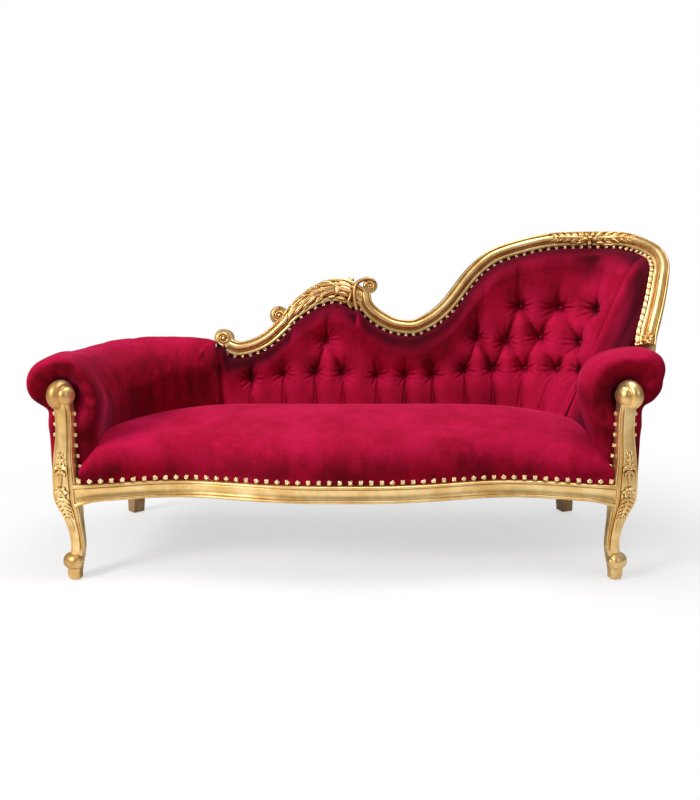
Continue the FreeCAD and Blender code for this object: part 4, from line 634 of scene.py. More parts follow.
def head_part(count, start, end, thick=None):
    rows = [(x * SPAN, y * crest_face_y(z * HEAD_HEIGHT), z * HEAD_HEIGHT) for x, y, z, _ in HEAD_LINE]
    lath = Lath(rows)
    turns = Lath([unit(vec(*row[3])) for row in HEAD_LINE])
    stretch = end - start
    return Rail(count, lambda at: lath.at(start + stretch * at), lambda at: turns.at(start + stretch * at),
                lambda at: np.full(len(at), PLAIN_WIDTH), thick)


scroll = flat_rail(SCROLL_LINE, 150, [PLAIN_WIDTH, PLAIN_WIDTH])
leaf = flat_rail(LEAF_LINE, 270, [share * LEAF_WIDTH for share in LEAF_WIDTHS])
sweep = flat_rail(SWEEP_LINE, 360, [PLAIN_WIDTH, PLAIN_WIDTH])
head = head_part(300, 0, 0.5)
stile = head_part(300, 0.5, 1, 38)
# The leaf's last stretch goes back behind the start of the sweep.
behind = 8 * smooth_step(leaf.run, leaf.run[-1] - 52, leaf.run[-1] - 24)
leaf.points -= leaf.front * behind[:, None]
leaf.thick -= behind
print("crest lengths mm", [round(rail.run[-1]) for rail in (scroll, leaf, sweep, head, stile)])

# %% [markdown]
# The face of the moulding is a height over its width.
# Carving is added the same way: leaves and petals are ridges along bent lines, with a vein down the middle
# and a cut round the edge, and the highest one wins where they overlap.

# %% Moulding face and carved leaves
FACE_COLUMNS = 64
# The plain back of a rail, as shares of its width and thickness
REAR = np.array([(1, -0.02), (1, -0.5), (1, -0.94), (0.95, -1), (0.5, -1), (0.05, -1), (0, -0.94), (0, -0.5)])


def moulding_height(low, width):
    # Height of the face over the tacking strip, at a distance from the lower edge.
    scale = width / PLAIN_WIDTH
    fillet = STRIP + 9.5 * scale
    roll_start = fillet + 4.5 * scale
    bead = width - 7 * scale
    height = 4.6 * smooth_step(low, STRIP, STRIP + 1.4)
    height = height + 1.2 * half_round((low - STRIP) / (fillet - STRIP), 1)
    height = np.where(low > fillet, 5.0 - 4.2 * smooth_step(low, fillet, fillet + 2.2 * scale), height)
    roll = 1 + 14 * half_round((low - roll_start) / (bead - roll_start), 0.55)
    height = np.where(low > roll_start, np.maximum(roll, height), height)
    quirk = bead - 0.8 * scale
    height = np.where(low > quirk, 3.4 + 4.2 * half_round((low - bead) / (width - bead), 0.6), height)
    return np.where(low >= width - 0.01, 4.0, height)


def carved(points, petals):
    # Relief and edge cut at places on the flat, in mm.
    # A petal is its start, middle and end, then half-width, height and vein.
    relief = np.zeros(len(points))
    cut = np.zeros(len(points))
    for start, middle, end, half, high, vein in petals:
        t = np.linspace(0, 1, 28)[:, None]
        line = (1 - t) ** 2 * vec(*start) + 2 * t * (1 - t) * vec(*middle) + t ** 2 * vec(*end)
        box_low = line.min(axis=0) - half * 1.6
        box_high = line.max(axis=0) + half * 1.6
        near = np.nonzero(((points > box_low) & (points < box_high)).all(axis=1))[0]
        if not len(near):
            continue
        away = np.linalg.norm(points[near, None, :] - line[None], axis=2)
        closest = away.argmin(axis=1)
        distance = away[np.arange(len(near)), closest]
        share = t[closest, 0]
        reach = half * np.maximum(np.sin(np.pi * np.clip(share, 0.03, 0.985) ** 0.8), 0.12) ** 0.75
        inside = distance / reach
        dome = high * np.sqrt(np.maximum(1 - inside ** 2, 0)) * (0.7 + 0.3 * share)
        dome -= vein * np.exp(-(distance / 1.1) ** 2) * (inside < 1)
        relief[near] = np.maximum(relief[near], dome)
        edge = np.exp(-((inside - 1.08) / 0.16) ** 2)
        cut[near] = np.maximum(cut[near], edge)
    return relief, cut * (relief < 1.2)


def rail_faces(rail, petals=(), lift=0.0):
    # One section per station: the carved face from the lower edge up, then the plain back.
    shares = np.linspace(0, 1, FACE_COLUMNS)
    low = shares[None, :] * rail.widths[:, None]
    height = moulding_height(low, rail.widths[:, None])
    if len(petals):
        places = np.stack([np.broadcast_to(rail.run[:, None], low.shape), low], axis=-1).reshape(-1, 2)
        relief, cut = carved(places, petals)
        relief = relief.reshape(low.shape)
        cut = cut.reshape(low.shape)
        raised = np.maximum(height * 0.4 + lift + relief, height * 0.55)
        height = np.where(relief > 0.4, raised, height) - 3.4 * cut
    edge, up, front = rail.line(0)[:, None], rail.up[:, None], rail.front[:, None]
    face = edge + up * low[..., None] + front * height[..., None]
    across = REAR[None, :, 0, None] * rail.widths[:, None, None]
    deep = REAR[None, :, 1, None] * rail.thick[:, None, None]
    return closed_skin(np.concatenate([face, edge + up * across + front * deep], axis=1))


heights = moulding_height(np.arange(PLAIN_WIDTH), PLAIN_WIDTH)
print("the moulding stands %.1f mm proud at most" % heights.max())

# %% [markdown]
# A volute is a band that winds inward to an eye.
# Over a round block the height depends on the turn: half-round on the band and low between the turns.

# %% Volutes
BAND_TURNS, BAND_RELIEF, BAND_BASE = 3, 9.0, 3.0


def volute_skin(centre, radius, start, sense, shrink=0.5):
    angles = np.linspace(0, 2 * np.pi, 120, endpoint=False)
    rim = np.cos(angles)[:, None] * vec(1, 0, 0) + np.sin(angles)[:, None] * CREST_UP
    travelled = (sense * (angles - start)) % (2 * np.pi)
    decay = -math.log(shrink) / (2 * np.pi)
    sections = []
    eye = 0.24 * radius
    for ring in (*np.linspace(0, 0.97, 46)[1:], 1.0):
        reach = ring * radius
        height = np.full(len(angles), BAND_BASE - 2.0)
        for turn in range(BAND_TURNS):
            outer = radius * np.exp(-decay * (travelled + 2 * np.pi * turn))
            inner = radius * np.exp(-decay * (travelled + 2 * np.pi * (turn + 1)))
            share = (outer - reach) / (outer - inner)
            on_band = (share >= 0) & (share < 1)
            rise = BAND_RELIEF * (0.75 + 0.12 * turn) * half_round(share / 0.82, 0.55) * (share < 0.82)
            height = np.where(on_band, BAND_BASE + rise, height)
        if reach < eye:
            height = np.full(len(angles), BAND_BASE + BAND_RELIEF * 1.15 * math.sqrt(1 - (reach / eye) ** 2))
        if ring == 1.0:
            height = np.minimum(height, BAND_BASE)
        sections.append(centre + rim * reach + CREST_NORMAL * height[:, None])
    thickness = crest_thickness(centre[2])
    sections.append(centre + rim * radius - CREST_NORMAL * thickness * 0.5)
    sections.append(centre + rim * radius * 0.97 - CREST_NORMAL * thickness)
    return closed_skin(sections)


def lathed(centre, axis, profile, count=96):
    across = unit(np.cross(axis, vec(0, 0, 1)))
    other = np.cross(axis, across)
    angles = np.linspace(0, 2 * np.pi, count, endpoint=False)
    rim = np.cos(angles)[:, None] * across + np.sin(angles)[:, None] * other
    rings = Lath(profile).at(np.linspace(0, 1, len(profile) * 5))
    return closed_skin([centre + axis * place + rim * max(reach, 0.3) for place, reach in rings])


def strap_skin(places, widths, rise, lift):
    # A half-round band that follows a line over the crest; it tapers and sinks at both ends.
    line = Lath([(x, z, width) for (x, z), width in zip(places, widths)]).at(np.linspace(0, 1, 90))
    centre = np.stack([line[:, 0], crest_face_y(line[:, 1]), line[:, 1]], axis=1)
    along = unit(np.gradient(centre, axis=0))
    side = unit(np.cross(along, CREST_NORMAL))
    across = np.linspace(-1, 1, 15)
    ends = np.sin(np.linspace(0.06, math.pi - 0.06, 90)) ** 0.25
    height = lift + rise * np.sqrt(np.maximum(1 - across ** 2, 0))[None, :] * ends[:, None]
    half = side * line[:, 2:3] / 2
    top = centre[:, None] + half[:, None] * across[None, :, None] + CREST_NORMAL * height[..., None]
    deep = centre + CREST_NORMAL * (lift - 22)
    return closed_skin(np.concatenate([top, np.stack([deep + half, deep - half], axis=1)], axis=1))


left_volute = volute_skin(crest_point(-0.2706, 0.6373), 31.5, 1.5 * np.pi, -1)
leaf_volute = volute_skin(crest_point(-0.1477, 0.7162), 31, 0.5 * np.pi, 1)
head_curl = volute_skin(vec(82, crest_face_y(798), 798), 24.5, np.pi, -1, shrink=0.36)
sweep_band = strap_skin([(40, 705), (31, 738), (28, 768), (31, 795), (44, 812), (64, 820), (84, 820),
                         (100, 810)], [12, 13, 13, 13, 12, 11, 9, 6], 9, 6)
leaf_band = strap_skin([(-24, 812), (-2, 806), (13, 786), (14, 760), (8, 742), (18, 722)],
                       [8, 11, 12, 12, 11, 10], 9, 6)
leaf_ball = lathed(vec(17, crest_face_y(815) + 4, 815), CREST_NORMAL,
                   [(-11, 0.5), (-9, 6), (-4, 10), (2, 11), (7, 8.5), (10, 4.5), (11, 0.4)], 40)
gilded("crest_scroll_carved", joined([rail_faces(scroll), left_volute]), "crest_scroll_rail")

# %% [markdown]
# The rise is carved as a long feathered leaf that sweeps up from the volute and ends in a loose curl.
# The petals follow the photograph: long ones above, short ones below, each bent the same way.

# %% Leaf-carved rise
PETAL_SPREAD, PETAL_FLATTEN = 1.28, 0.82
LEAF_PETALS = [
    ((14, 30), (40, 46), (70, 44), 9, 12, 3.2), ((34, 26), (60, 32), (86, 40), 7, 11, 2.8),
    ((40, 52), (72, 66), (112, 58), 9.5, 14, 3.4), ((62, 40), (92, 46), (124, 46), 8, 12, 3.2),
    ((84, 66), (118, 78), (150, 66), 8.5, 14, 3.2), ((94, 30), (112, 36), (138, 44), 6.5, 11, 2.6),
    ((70, 26), (88, 28), (106, 34), 5.5, 10, 2.4), ((118, 52), (140, 60), (166, 52), 8, 13, 3.0),
    ((122, 24), (138, 26), (158, 34), 6, 10, 2.4), ((146, 38), (160, 40), (178, 40), 6, 11, 2.4),
    ((150, 70), (176, 82), (202, 60), 8, 13, 1.6), ((202, 62), (214, 44), (196, 28), 8, 12, 1.2),
    ((196, 28), (180, 20), (172, 30), 6, 11, 0), ((206, 50), (232, 62), (258, 50), 9, 14, 3),
    ((206, 36), (230, 38), (256, 36), 7, 13, 3), ((204, 66), (226, 78), (250, 66), 7, 12, 2.4),
    ((206, 24), (228, 20), (248, 26), 5.5, 11, 2),
]
broad_petals = [(*line, half * PETAL_SPREAD, high * PETAL_FLATTEN, vein)
                for *line, half, high, vein in LEAF_PETALS]
leaf_rise = rail_faces(leaf, broad_petals, 3.0)
gilded("crest_leaf_carved", joined([leaf_rise, leaf_volute, leaf_band]), "crest_leaf_rail")
long_sweep = rail_faces(sweep)
gilded("crest_sweep_carved", joined([long_sweep, head_curl, sweep_band, leaf_ball]), "crest_sweep_rail")

# %% [markdown]
# The head carries an open flower with a leaf spray to each side, and the stile ends in a small rosette.
# A spray is a stem with lobes on both sides that all point to its tip and grow smaller towards it.

# %% Flower, sprays and rosette
def spray(start, end, lobes, reach, half, high):
    start = vec(*start)
    along = vec(*end) - start
    across = vec(-along[1], along[0]) / np.linalg.norm(along) * reach
    petals = [(start, start + along * 0.5, start + along, half * 0.8, high, 1.5)]
    for share in np.linspace(0.04, 0.78, lobes):
        base = start + along * share
        size = 1 - 0.5 * share
        for side in (-1, 1):
            tip = base + along * 0.22 + across * side * size
            middle = base + along * 0.05 + across * side * size * 0.8
            petals.append((base, middle, tip, half * size, high * 0.9, 1.2))
    return petals


def flower(centre, radius, petals, half, high, turn=0.0):
    centre = vec(*centre)
    made = []
    for angle in np.linspace(0, 2 * np.pi, petals, endpoint=False) + turn:
        away = vec(math.cos(angle), math.sin(angle)) * radius
        made.append((centre + away * 0.2, centre + away * 0.65, centre + away, half, high, 1.4))
    eye = vec(radius * 0.3, 0)
    made.append((centre - eye, centre, centre + eye, radius * 0.27, high * 1.35, 0))
    return made


def run_at(rail, x):
    return float(np.interp(x, rail.points[:, 0], rail.run))


bloom = run_at(head, 816)
HEAD_PETALS = (spray((bloom - 14, 36), (run_at(head, 684), 42), 5, 20, 8, 9)
               + spray((bloom + 14, 36), (run_at(head, 938), 40), 5, 20, 8, 9)
               + flower((bloom, 35), 26, 5, 8.5, 13, -np.pi / 2))
STILE_PETALS = flower((stile.run[-1] - 20, 33), 19, 6, 6.2, 9)
gilded("head_carved", rail_faces(head, HEAD_PETALS, 2.0), "head_rail")
gilded("stile_carved", rail_faces(stile, STILE_PETALS, 2.0), "head_stile")

# %% [markdown]
# Each front leg is one carved piece. Its outline comes from a short table, read through the supple lath.
# The section is a soft-cornered square with a crowned panel and a groove beside each corner.
# The main face carries a finial, a pair of curled leaves, a flower and a hanging leaf.

# %% Front legs
BLOCK = 64
KNOB_HEIGHT = 531
KNOB_X = HALF_SPAN + 0.22 * BLOCK
KNOB_TURN, SHAFT_TURN = math.radians(28), math.radians(9)
# Rows from the foot up: share of the knob's height, then outward, forward and width in blocks
LEG_ROWS = [
    (0.006, 0.03, 0.22, 0.49), (0.060, 0.04, 0.25, 0.57), (0.150, -0.09, 0.36, 0.57),
    (0.225, -0.11, 0.38, 0.57), (0.285, -0.07, 0.32, 0.62), (0.340, -0.02, 0.22, 0.72),
    (0.390, 0.06, 0.19, 0.86), (0.440, 0.17, 0.18, 0.98), (0.500, 0.19, 0.18, 1.01),
    (0.565, 0.20, 0.18, 0.98), (0.610, 0.20, 0.17, 0.92), (0.665, 0.19, 0.15, 0.84),
    (0.730, 0.15, 0.14, 0.77), (0.820, 0.10, 0.14, 0.70), (0.915, 0.10, 0.14, 0.70),
    (0.985, 0.14, 0.12, 0.71),
]
# Profiles of turned pieces: place along the axis and radius
KNOB_PROFILE = [(-32, 0.5), (-31, 12), (-27, 24), (-18, 35), (-6, 41.5), (4, 42), (12, 39), (17, 33),
                (18.2, 28), (19.5, 26), (22, 27), (28, 25.5), (34, 20), (38, 11), (39, 0.5)]
FOOT_PROFILE = [(-30, 0.5), (-29.5, 6), (-27.5, 9), (-26, 9.5), (-25, 13), (-22, 18.5), (-14, 23), (0, 24.5),
                (14, 23), (22, 18.5), (25, 13), (26, 9.5), (27.5, 9), (29.5, 6), (30, 0.5)]
LEG_PETALS = (spray((0, 332), (0, 378), 3, 11, 5.2, 7)
              + [((way, 328), (14 * way, 340), (17 * way, 320), 6.2, 8.5, 2) for way in (1, -1)]
              + [((0, 326), (9 * way, 318), (14 * way, 308), 4.6, 7, 1.6) for way in (1, -1)]
              + [((0, 330), (1, 305), (0, 282), 4, 7, 0)]
              + flower((0, 264), 18, 6, 6.4, 9) + spray((0, 248), (0, 184), 5, 17, 6.2, 8)
              + [((0, 190), (1, 165), (2, 143), 4, 4.5, 1)])


def leg_axes(side, turn):
    inner = vec(-side * math.cos(turn), -math.sin(turn), 0)
    main = vec(side * math.sin(turn), -math.cos(turn), 0)
    return inner, main


def leg_skin(side):
    inner, _ = leg_axes(side, KNOB_TURN)
    places = [(high * KNOB_HEIGHT, side * (HALF_SPAN + out * BLOCK), ahead * BLOCK, width * BLOCK)
              for high, out, ahead, width in LEG_ROWS]
    rows = Lath(places).at(np.linspace(0, 1, 460))
    angles = np.linspace(0, 2 * np.pi, 184, endpoint=False)
    across, ahead = np.cos(angles), np.sin(angles)
    square = (np.abs(across) ** 5 + np.abs(ahead) ** 5) ** -0.2
    across, ahead = across * square, ahead * square
    beside = np.minimum(np.abs(across), np.abs(ahead))
    panel = 2.6 * np.maximum(1 - (beside / 0.64) ** 2, 0) - 3.2 * np.exp(-((beside - 0.69) / 0.04) ** 2)
    panel -= 1.6 * np.exp(-((beside - 0.83) / 0.03) ** 2)
    z, x, y, width = rows.T
    half = width[:, None] / 2
    strength = smooth_step(z, 72, 96)[:, None] * (1 - 0.5 * smooth_step(z, 480, 505))[:, None]
    places = np.stack(np.broadcast_arrays(across * half, z[:, None]), axis=-1)
    relief, cut = carved(places.reshape(-1, 2), LEG_PETALS)
    on_main = smooth_step(ahead, 0.8, 0.95)
    relief = (relief - 1.8 * cut).reshape(places.shape[:2]) * on_main
    offset = panel * strength * np.where(relief > 0.5, 0.3, 1) + relief
    reach = half + offset
    beside_axis, ahead_axis = leg_axes(side, SHAFT_TURN)
    flat = across[:, None] * beside_axis + ahead[:, None] * ahead_axis
    centre = np.stack([x, y, z], axis=1)
    shaft = closed_skin(centre[:, None] + flat * reach[..., None])
    knob = lathed(vec(side * KNOB_X, 0.12 * BLOCK, KNOB_HEIGHT), inner, KNOB_PROFILE)
    foot = lathed(vec(side * (HALF_SPAN + 0.08 * BLOCK), 0.16 * BLOCK, 54), inner, FOOT_PROFILE)
    return joined([shaft, knob, foot])


for side, name in ((-1, "left"), (1, "right")):
    gilded(name + "_leg_carved", leg_skin(side), name + "_front_leg", (14, 1.8))

# %% [markdown]
# The inside of the back runs flat along the seat, turns round the corner of the head and opens outward.
# Every place on it has a run along the seat and a height, so one row of columns covers all of it.

# %% Lines of the back
SEAT_LEFT, SEAT_RIGHT, SEAT_BACK = -706, 712, 538
LEFT_RADIUS, RIGHT_RADIUS = 400, 250
PROUD = 37
LEFT_CENTRE = vec(SEAT_LEFT + LEFT_RADIUS, SEAT_BACK - LEFT_RADIUS)
RIGHT_CENTRE = vec(SEAT_RIGHT - RIGHT_RADIUS, SEAT_BACK - RIGHT_RADIUS)
FLAT_END = RIGHT_CENTRE[0]
CORNER = RIGHT_RADIUS * math.pi / 2
PAD_START, PAD_END, WING_END = -438, 775.7, FLAT_END + CORNER + RIGHT_CENTRE[1] - 170


def seat_back_y(x):
    # The seat's back edge: straight, with a wide bend on the left and a tighter one on the right.
    left = np.sqrt(np.maximum(LEFT_RADIUS ** 2 - np.minimum(x - LEFT_CENTRE[0], 0) ** 2, 0))
    right = np.sqrt(np.maximum(RIGHT_RADIUS ** 2 - np.maximum(x - FLAT_END, 0) ** 2, 0))
    return np.where(x < LEFT_CENTRE[0], LEFT_CENTRE[1] + left,
                    np.where(x > FLAT_END, RIGHT_CENTRE[1] + right, SEAT_BACK))


def outward(run):
    # The way out of the seat, away from whoever sits on it.
    if run <= FLAT_END:
        return vec(0, 1, 0)
    angle = math.pi / 2 - min((run - FLAT_END) / RIGHT_RADIUS, math.pi / 2)
    return vec(math.cos(angle), math.sin(angle), 0)


def foot_point(run):
    # The place on the seat's edge under a run along the back.
    if run <= FLAT_END:
        return vec(run, float(seat_back_y(run)), SEAT_EDGE)
    past = max(run - FLAT_END - CORNER, 0)
    return vec(FLAT_END, RIGHT_CENTRE[1] - past, SEAT_EDGE) + outward(run) * RIGHT_RADIUS


# %% [markdown]
# The upper edge of the back's velvet follows the crest: it ends at the fillet, just over the tacking strip.
# Along the flat part that edge is a height over the seat. Round the corner, each column points outward,
# and its top is where it crosses the edge's line in plan.

# %% The back's upper edge
def strip_line(rail):
    # The velvet covers the tacking strip and ends at the fillet.
    return rail.line(STRIP - 0.6, 1.2)


def lowest_line(lines, start, end):
    # The lowest of several lines over each place along the seat, bridged where none of them reaches.
    x = np.arange(start, end, 1.0)
    heights = np.min([np.interp(x, line[:, 0], line[:, 2], 9999, 9999) for line in lines], axis=0)
    found = heights < 9999
    return x, np.interp(x, x[found], heights[found])


flat_lines = [strip_line(rail) for rail in (scroll, leaf, sweep, head)]
crest_x, crest_low = lowest_line(flat_lines, -442, 600)
crest_low = np.convolve(np.pad(crest_low, 6, mode="edge"), np.full(13, 1 / 13), mode="valid")
crest_low = crest_low + 26 * smooth_step(-crest_x, 394, 418)
tail = flat_lines[2][flat_lines[2][:, 0] > FLAT_END - 30]
corner_chain = np.concatenate([tail, flat_lines[3][1:], strip_line(stile)[1:]])


def head_point(run):
    # The place on the crest over a run along the back.
    if run <= FLAT_END:
        z = np.interp(run, crest_x, crest_low)
        return vec(run, crest_face_y(z) - 1.2, z)
    foot = foot_point(run)
    out = outward(run)
    away = corner_chain - foot
    beside = away @ vec(-out[1], out[0], 0)
    ahead = away @ out
    cross = np.nonzero((beside[:-1] * beside[1:] <= 0) & (ahead[:-1] > 0))[0]
    if not len(cross):
        return corner_chain[-1]
    at = cross[0]
    share = beside[at] / (beside[at] - beside[at + 1])
    return corner_chain[at] * (1 - share) + corner_chain[at + 1] * share


print("heights of the back in mm", [round(float(head_point(run)[2])) for run in (PAD_START, 0, PAD_END)])

# %% [markdown]
# Deep buttoning pulls the velvet back at every button, and the slack folds into pleats between them.
# Height over the back is a full pillow, less a sharp valley along each pleat and a pit at each button.

# %% Buttons and pleats
# Places of the buttons as shares of the span and of the head's height
BUTTONS = {
    "a1": (-0.2065, 0.502), "a2": (-0.1359, 0.5184), "a3": (-0.0654, 0.5225), "a4": (-0.0052, 0.5225),
    "a5": (0.068, 0.5143), "a6": (0.1307, 0.5143), "a7": (0.1908, 0.5143), "a8": (0.2614, 0.5307),
    "a9": (0.3216, 0.5348), "a10": (0.3817, 0.5389), "a11": (0.4366, 0.543), "a12": (0.4843, 0.5471),
    "b0": (-0.0418, 0.6332), "b1": (0.2876, 0.6414), "b2": (0.3451, 0.6291), "b3": (0.4013, 0.6455),
    "b4": (0.4601, 0.6332), "c1": (0.366, 0.748), "c2": (0.4209, 0.7439), "c3": (0.4706, 0.7439),
}
spots = {name: vec(place[0] * SPAN, place[1] * HEAD_HEIGHT) for name, place in BUTTONS.items()}
DIAGONALS = ("a3 b0, a4 b0, a8 b1, a9 b1, a9 b2, a10 b2, a10 b3, a11 b3, a11 b4, a12 b4, "
             "b2 c1, b3 c1, b3 c2, b4 c2, b4 c3")
# Pleats: start, end, depth at both ends, then the width of the fold
pleats = []
for pair in DIAGONALS.split(", "):
    first, second = pair.split()
    pleats.append((spots[first], spots[second], 13, 13, 6.5))
PLEAT_SEED = 7
PLEAT_UP = {"a": 62, "b": 95, "c": 130}
BARE_ABOVE = ("a3", "a8", "a9", "a10", "a11", "a12", "b3", "b4")
chance = np.random.default_rng(PLEAT_SEED)
for name, place in spots.items():
    lean = chance.uniform(-5, 5)
    if name[0] == "a":
        pleats.append((place, vec(place[0] + lean - 8, SEAT_EDGE - 30), 10, 5, 4.5))
        pleats.append((place, vec(place[0] + lean + 9, SEAT_EDGE - 30), 10, 7, 5.5))
    reach = PLEAT_UP[name[0]] * chance.uniform(0.85, 1.15)
    if name not in BARE_ABOVE:
        pleats.append((place, place + vec(chance.uniform(-9, 5), reach), 12, 1.5, 6.0))
    pleats.append((place, place + vec(-34, -2) * chance.uniform(0.8, 1.2), 9, 0.5, 4.5))
    pleats.append((place, place + vec(26, -1) * chance.uniform(0.6, 1.1), 6, 0.3, 4.5))
# One pleat parts the back from the left arm, and a bent one runs from the last button to the wing's foot.
ARM_PLEAT, WING_BEND = -414, vec(772, 630)
pleats.append((vec(ARM_PLEAT, SEAT_EDGE), vec(ARM_PLEAT, 560), 10, 4, 9))
pleats.append((spots["c3"], WING_BEND, 13, 10, 7))
pleats.append((WING_BEND, vec(776, 380), 10, 12, 8))
print("buttons", len(spots), "pleats", len(pleats))

# %% [markdown]
# The velvet between the pleats is a set of small pillows. Cloth simulation can't fold so finely on a mesh
# of this size, so the depth is worked out: each pleat has a sharp line and a wide valley, and each button
# a pit with small gathers round it.

# %% Pillows between the pleats
PILLOW_HIGH, PIT_DEEP, DIMPLE_DEEP = 18, 18, 9


def pillows(places):
    # From the run and height of many points, in mm, to how far each stands proud of the base.
    valley = np.zeros(len(places))
    fold = np.zeros(len(places))
    for start, end, first, last, width in pleats:
        along = end - start
        length = np.linalg.norm(along)
        share = np.clip((places - start) @ along / length ** 2, 0, 1)
        away = places - start - share[:, None] * along
        side = (away[:, 0] * along[1] - away[:, 1] * along[0]) / length
        distance = np.linalg.norm(away, axis=1)
        depth = first + (last - first) * share
        sag = 1 - 0.35 * np.sin(np.pi * share)
        steep = np.where(side > 0, width, width * 1.9)
        fold = np.maximum(fold, depth * sag * np.exp(-distance / steep))
        valley = np.maximum(valley, depth * sag * 0.8 * np.exp(-(distance / 24) ** 2))
    pit = np.zeros(len(places))
    for number, place in enumerate(spots.values()):
        away = places - place
        distance = np.linalg.norm(away, axis=1)
        turn = np.arctan2(away[:, 1], away[:, 0])
        star = 1.6 * np.cos(8 * turn + number) * np.exp(-((distance - 20) / 11) ** 2)
        star += 0.9 * np.cos(13 * turn + 2 * number) * np.exp(-((distance - 30) / 10) ** 2)
        hole = PIT_DEEP * np.exp(-(distance / 17) ** 1.3) + DIMPLE_DEEP * np.exp(-(distance / 40) ** 2)
        pit = np.maximum(pit, hole + star)
    return PILLOW_HIGH - fold - valley - pit


# %% [markdown]
# The padded back is one closed skin, a column of points for every run along it.
# Each column starts below the seat, leans with the rake, swells by the pillows and closes behind.
# The wing beside the stile is the same skin without buttons, and a groove parts the two.

# %% The back and its wing
BACK_LOW = 366.0
EDGE_ROLL = 62
REAR_POINTS = 3


def back_columns(start, end, step, rows, tufted):
    runs = np.linspace(start, end, int((end - start) / step) + 1)
    low = BACK_LOW
    sections = []
    for run in runs:
        foot, top, out = foot_point(run), head_point(run), outward(run)
        shift = max(SEAT_BACK - foot[1], 0) if run < 0 else 0
        z = low + (top[2] - low) * np.linspace(0, 1, rows) ** 0.93
        share = ((z - SEAT_EDGE) / (top[2] - SEAT_EDGE))[:, None]
        up = np.clip(share[:, 0], 0, 1)
        below = top[2] - z
        full = np.sqrt(np.maximum(1 - (1 - np.clip((below - STRIP * 0.8) / EDGE_ROLL, 0, 1)) ** 2, 0))
        if tufted:
            base = foot + out * PROUD + (top - foot - out * PROUD) * share
            if run <= FLAT_END:
                base[:, 1] = crest_face_y(z) + shift * (1 - up)
            pillow = pillows(np.stack([np.full(rows, run), z], axis=1))
            level = 7 * np.sin(np.pi * up) + 5.5
            joining = smooth_step(run, PAD_END - 60, PAD_END) * smooth_step(z, 560, 650)
            groove = 10 * smooth_step(run, PAD_END - 9, PAD_END)
            pillow = pillow + (level - groove - pillow) * joining
            proud = full * (PROUD + shift * 0.5 + pillow) + 2.2 * smooth_step(below, 0, 4)
        else:
            lean = 1 - 0.82 * smooth_step(run, start, start + 120)
            base = foot + (top - foot) * share
            swell = PROUD * lean * up + 7 * np.sin(np.pi * up) + 4.8 * np.exp(-((run - start) / 26) ** 2)
            groove = 9 * (1 - smooth_step(run, start, start + 13))
            proud = full * (swell - groove) + 2.2 * smooth_step(below, 0, 4)
        base[:, 2] = z
        front = base - out * proud[:, None]
        rear = [top + out * 5 - vec(0, 0, 3), top * 0.5 + foot * 0.5 + out * 34, foot + out * 62]
        rear[-1][2] = low
        rear[1][2] = (top[2] + low) / 2
        sections.append(np.concatenate([front, rear]))
    return sections


# %% [markdown]
# Velvet swallows light in a corner. The stored hollows only know small folds, so painted shade under the
# crest and beside the stile is added to them, and painted light lower on the back.

# %% Shade under the crest
def edge_shade(piece, rows, start, end, near, far):
    # Under the crest, and towards the stile, the pile gets painted shade; lower on the back it gets painted
    # light.
    points = from_frame(mesh_points(piece.data))[:-2].reshape(-1, rows + REAR_POINTS, 3)
    below = points[:, rows - 1, 2:3] - points[:, :, 2]
    run = np.linspace(start, end, len(points))[:, None]
    shade = near * np.exp(-(below / EDGE_ROLL) ** 1.5) + far * smooth_step(run, PAD_END - 90, WING_END)
    # Painted light: lower on the back, away from the wing, the velvet is made lighter.
    shade = shade - 0.35 * smooth_step(below, 70, 150) * (1 - smooth_step(run, 640, 760))
    add_painted_light_and_shade(piece, np.concatenate([shade.ravel(), [0, 0]]))


BACK_ROWS, WING_ROWS = 190, 150
WING_START = PAD_END - 3
back_skin = closed_skin(back_columns(PAD_START, PAD_END, 2.5, BACK_ROWS, True))
# The stored hollows paint shade into the pleats and pits of the back and wing, and a highlight onto their
# ridges.
back_piece = upholstered("back_velvet", back_skin, ("back_pad",), (90, 6.5))
wing_skin = closed_skin(back_columns(WING_START, WING_END, 3.0, WING_ROWS, False))
wing_piece = upholstered("wing_velvet", wing_skin, ("wing_pad",), (30, 6))
# Painted shade under the crest and beside the stile, and painted light lower on the back.
edge_shade(back_piece, BACK_ROWS, PAD_START, PAD_END, 1.3, 0.6)
edge_shade(wing_piece, WING_ROWS, WING_START, WING_END, 0.8, 1.2)

# %% [markdown]
# The buttons are covered in the same velvet and sit at the bottom of their pits.

# %% Velvet buttons
BUTTON_PROFILE = [(0, 7.5), (3, 9), (8, 9.2), (11.5, 7.5), (14, 3.5), (14.8, 0.4)]


def button_skin(place):
    out = outward(place[0])
    foot, top = foot_point(place[0]), head_point(place[0])
    share = (place[1] - SEAT_EDGE) / (top[2] - SEAT_EDGE)
    base = foot + out * PROUD + (top - foot - out * PROUD) * share
    if place[0] <= FLAT_END:
        base[1] = crest_face_y(place[1])
    base[2] = place[1]
    return lathed(base - out * 3, -out, BUTTON_PROFILE, 28)


button_skins = joined([button_skin(place) for place in spots.values()])
upholstered("velvet_buttons", button_skins, ("back_buttons",))

# %% [markdown]
# The seat is one long tight cushion. Each section rises from the rebate of the rail, rolls over a shoulder,
# crosses the crown and drops behind the padding of the back.

# %% Seat
CROWN = 442
SEAT_MIDDLE = (SEAT_LEFT + SEAT_RIGHT) / 2
SKIRT_OUT = 36
SEAT_BEHIND_FACE = 12


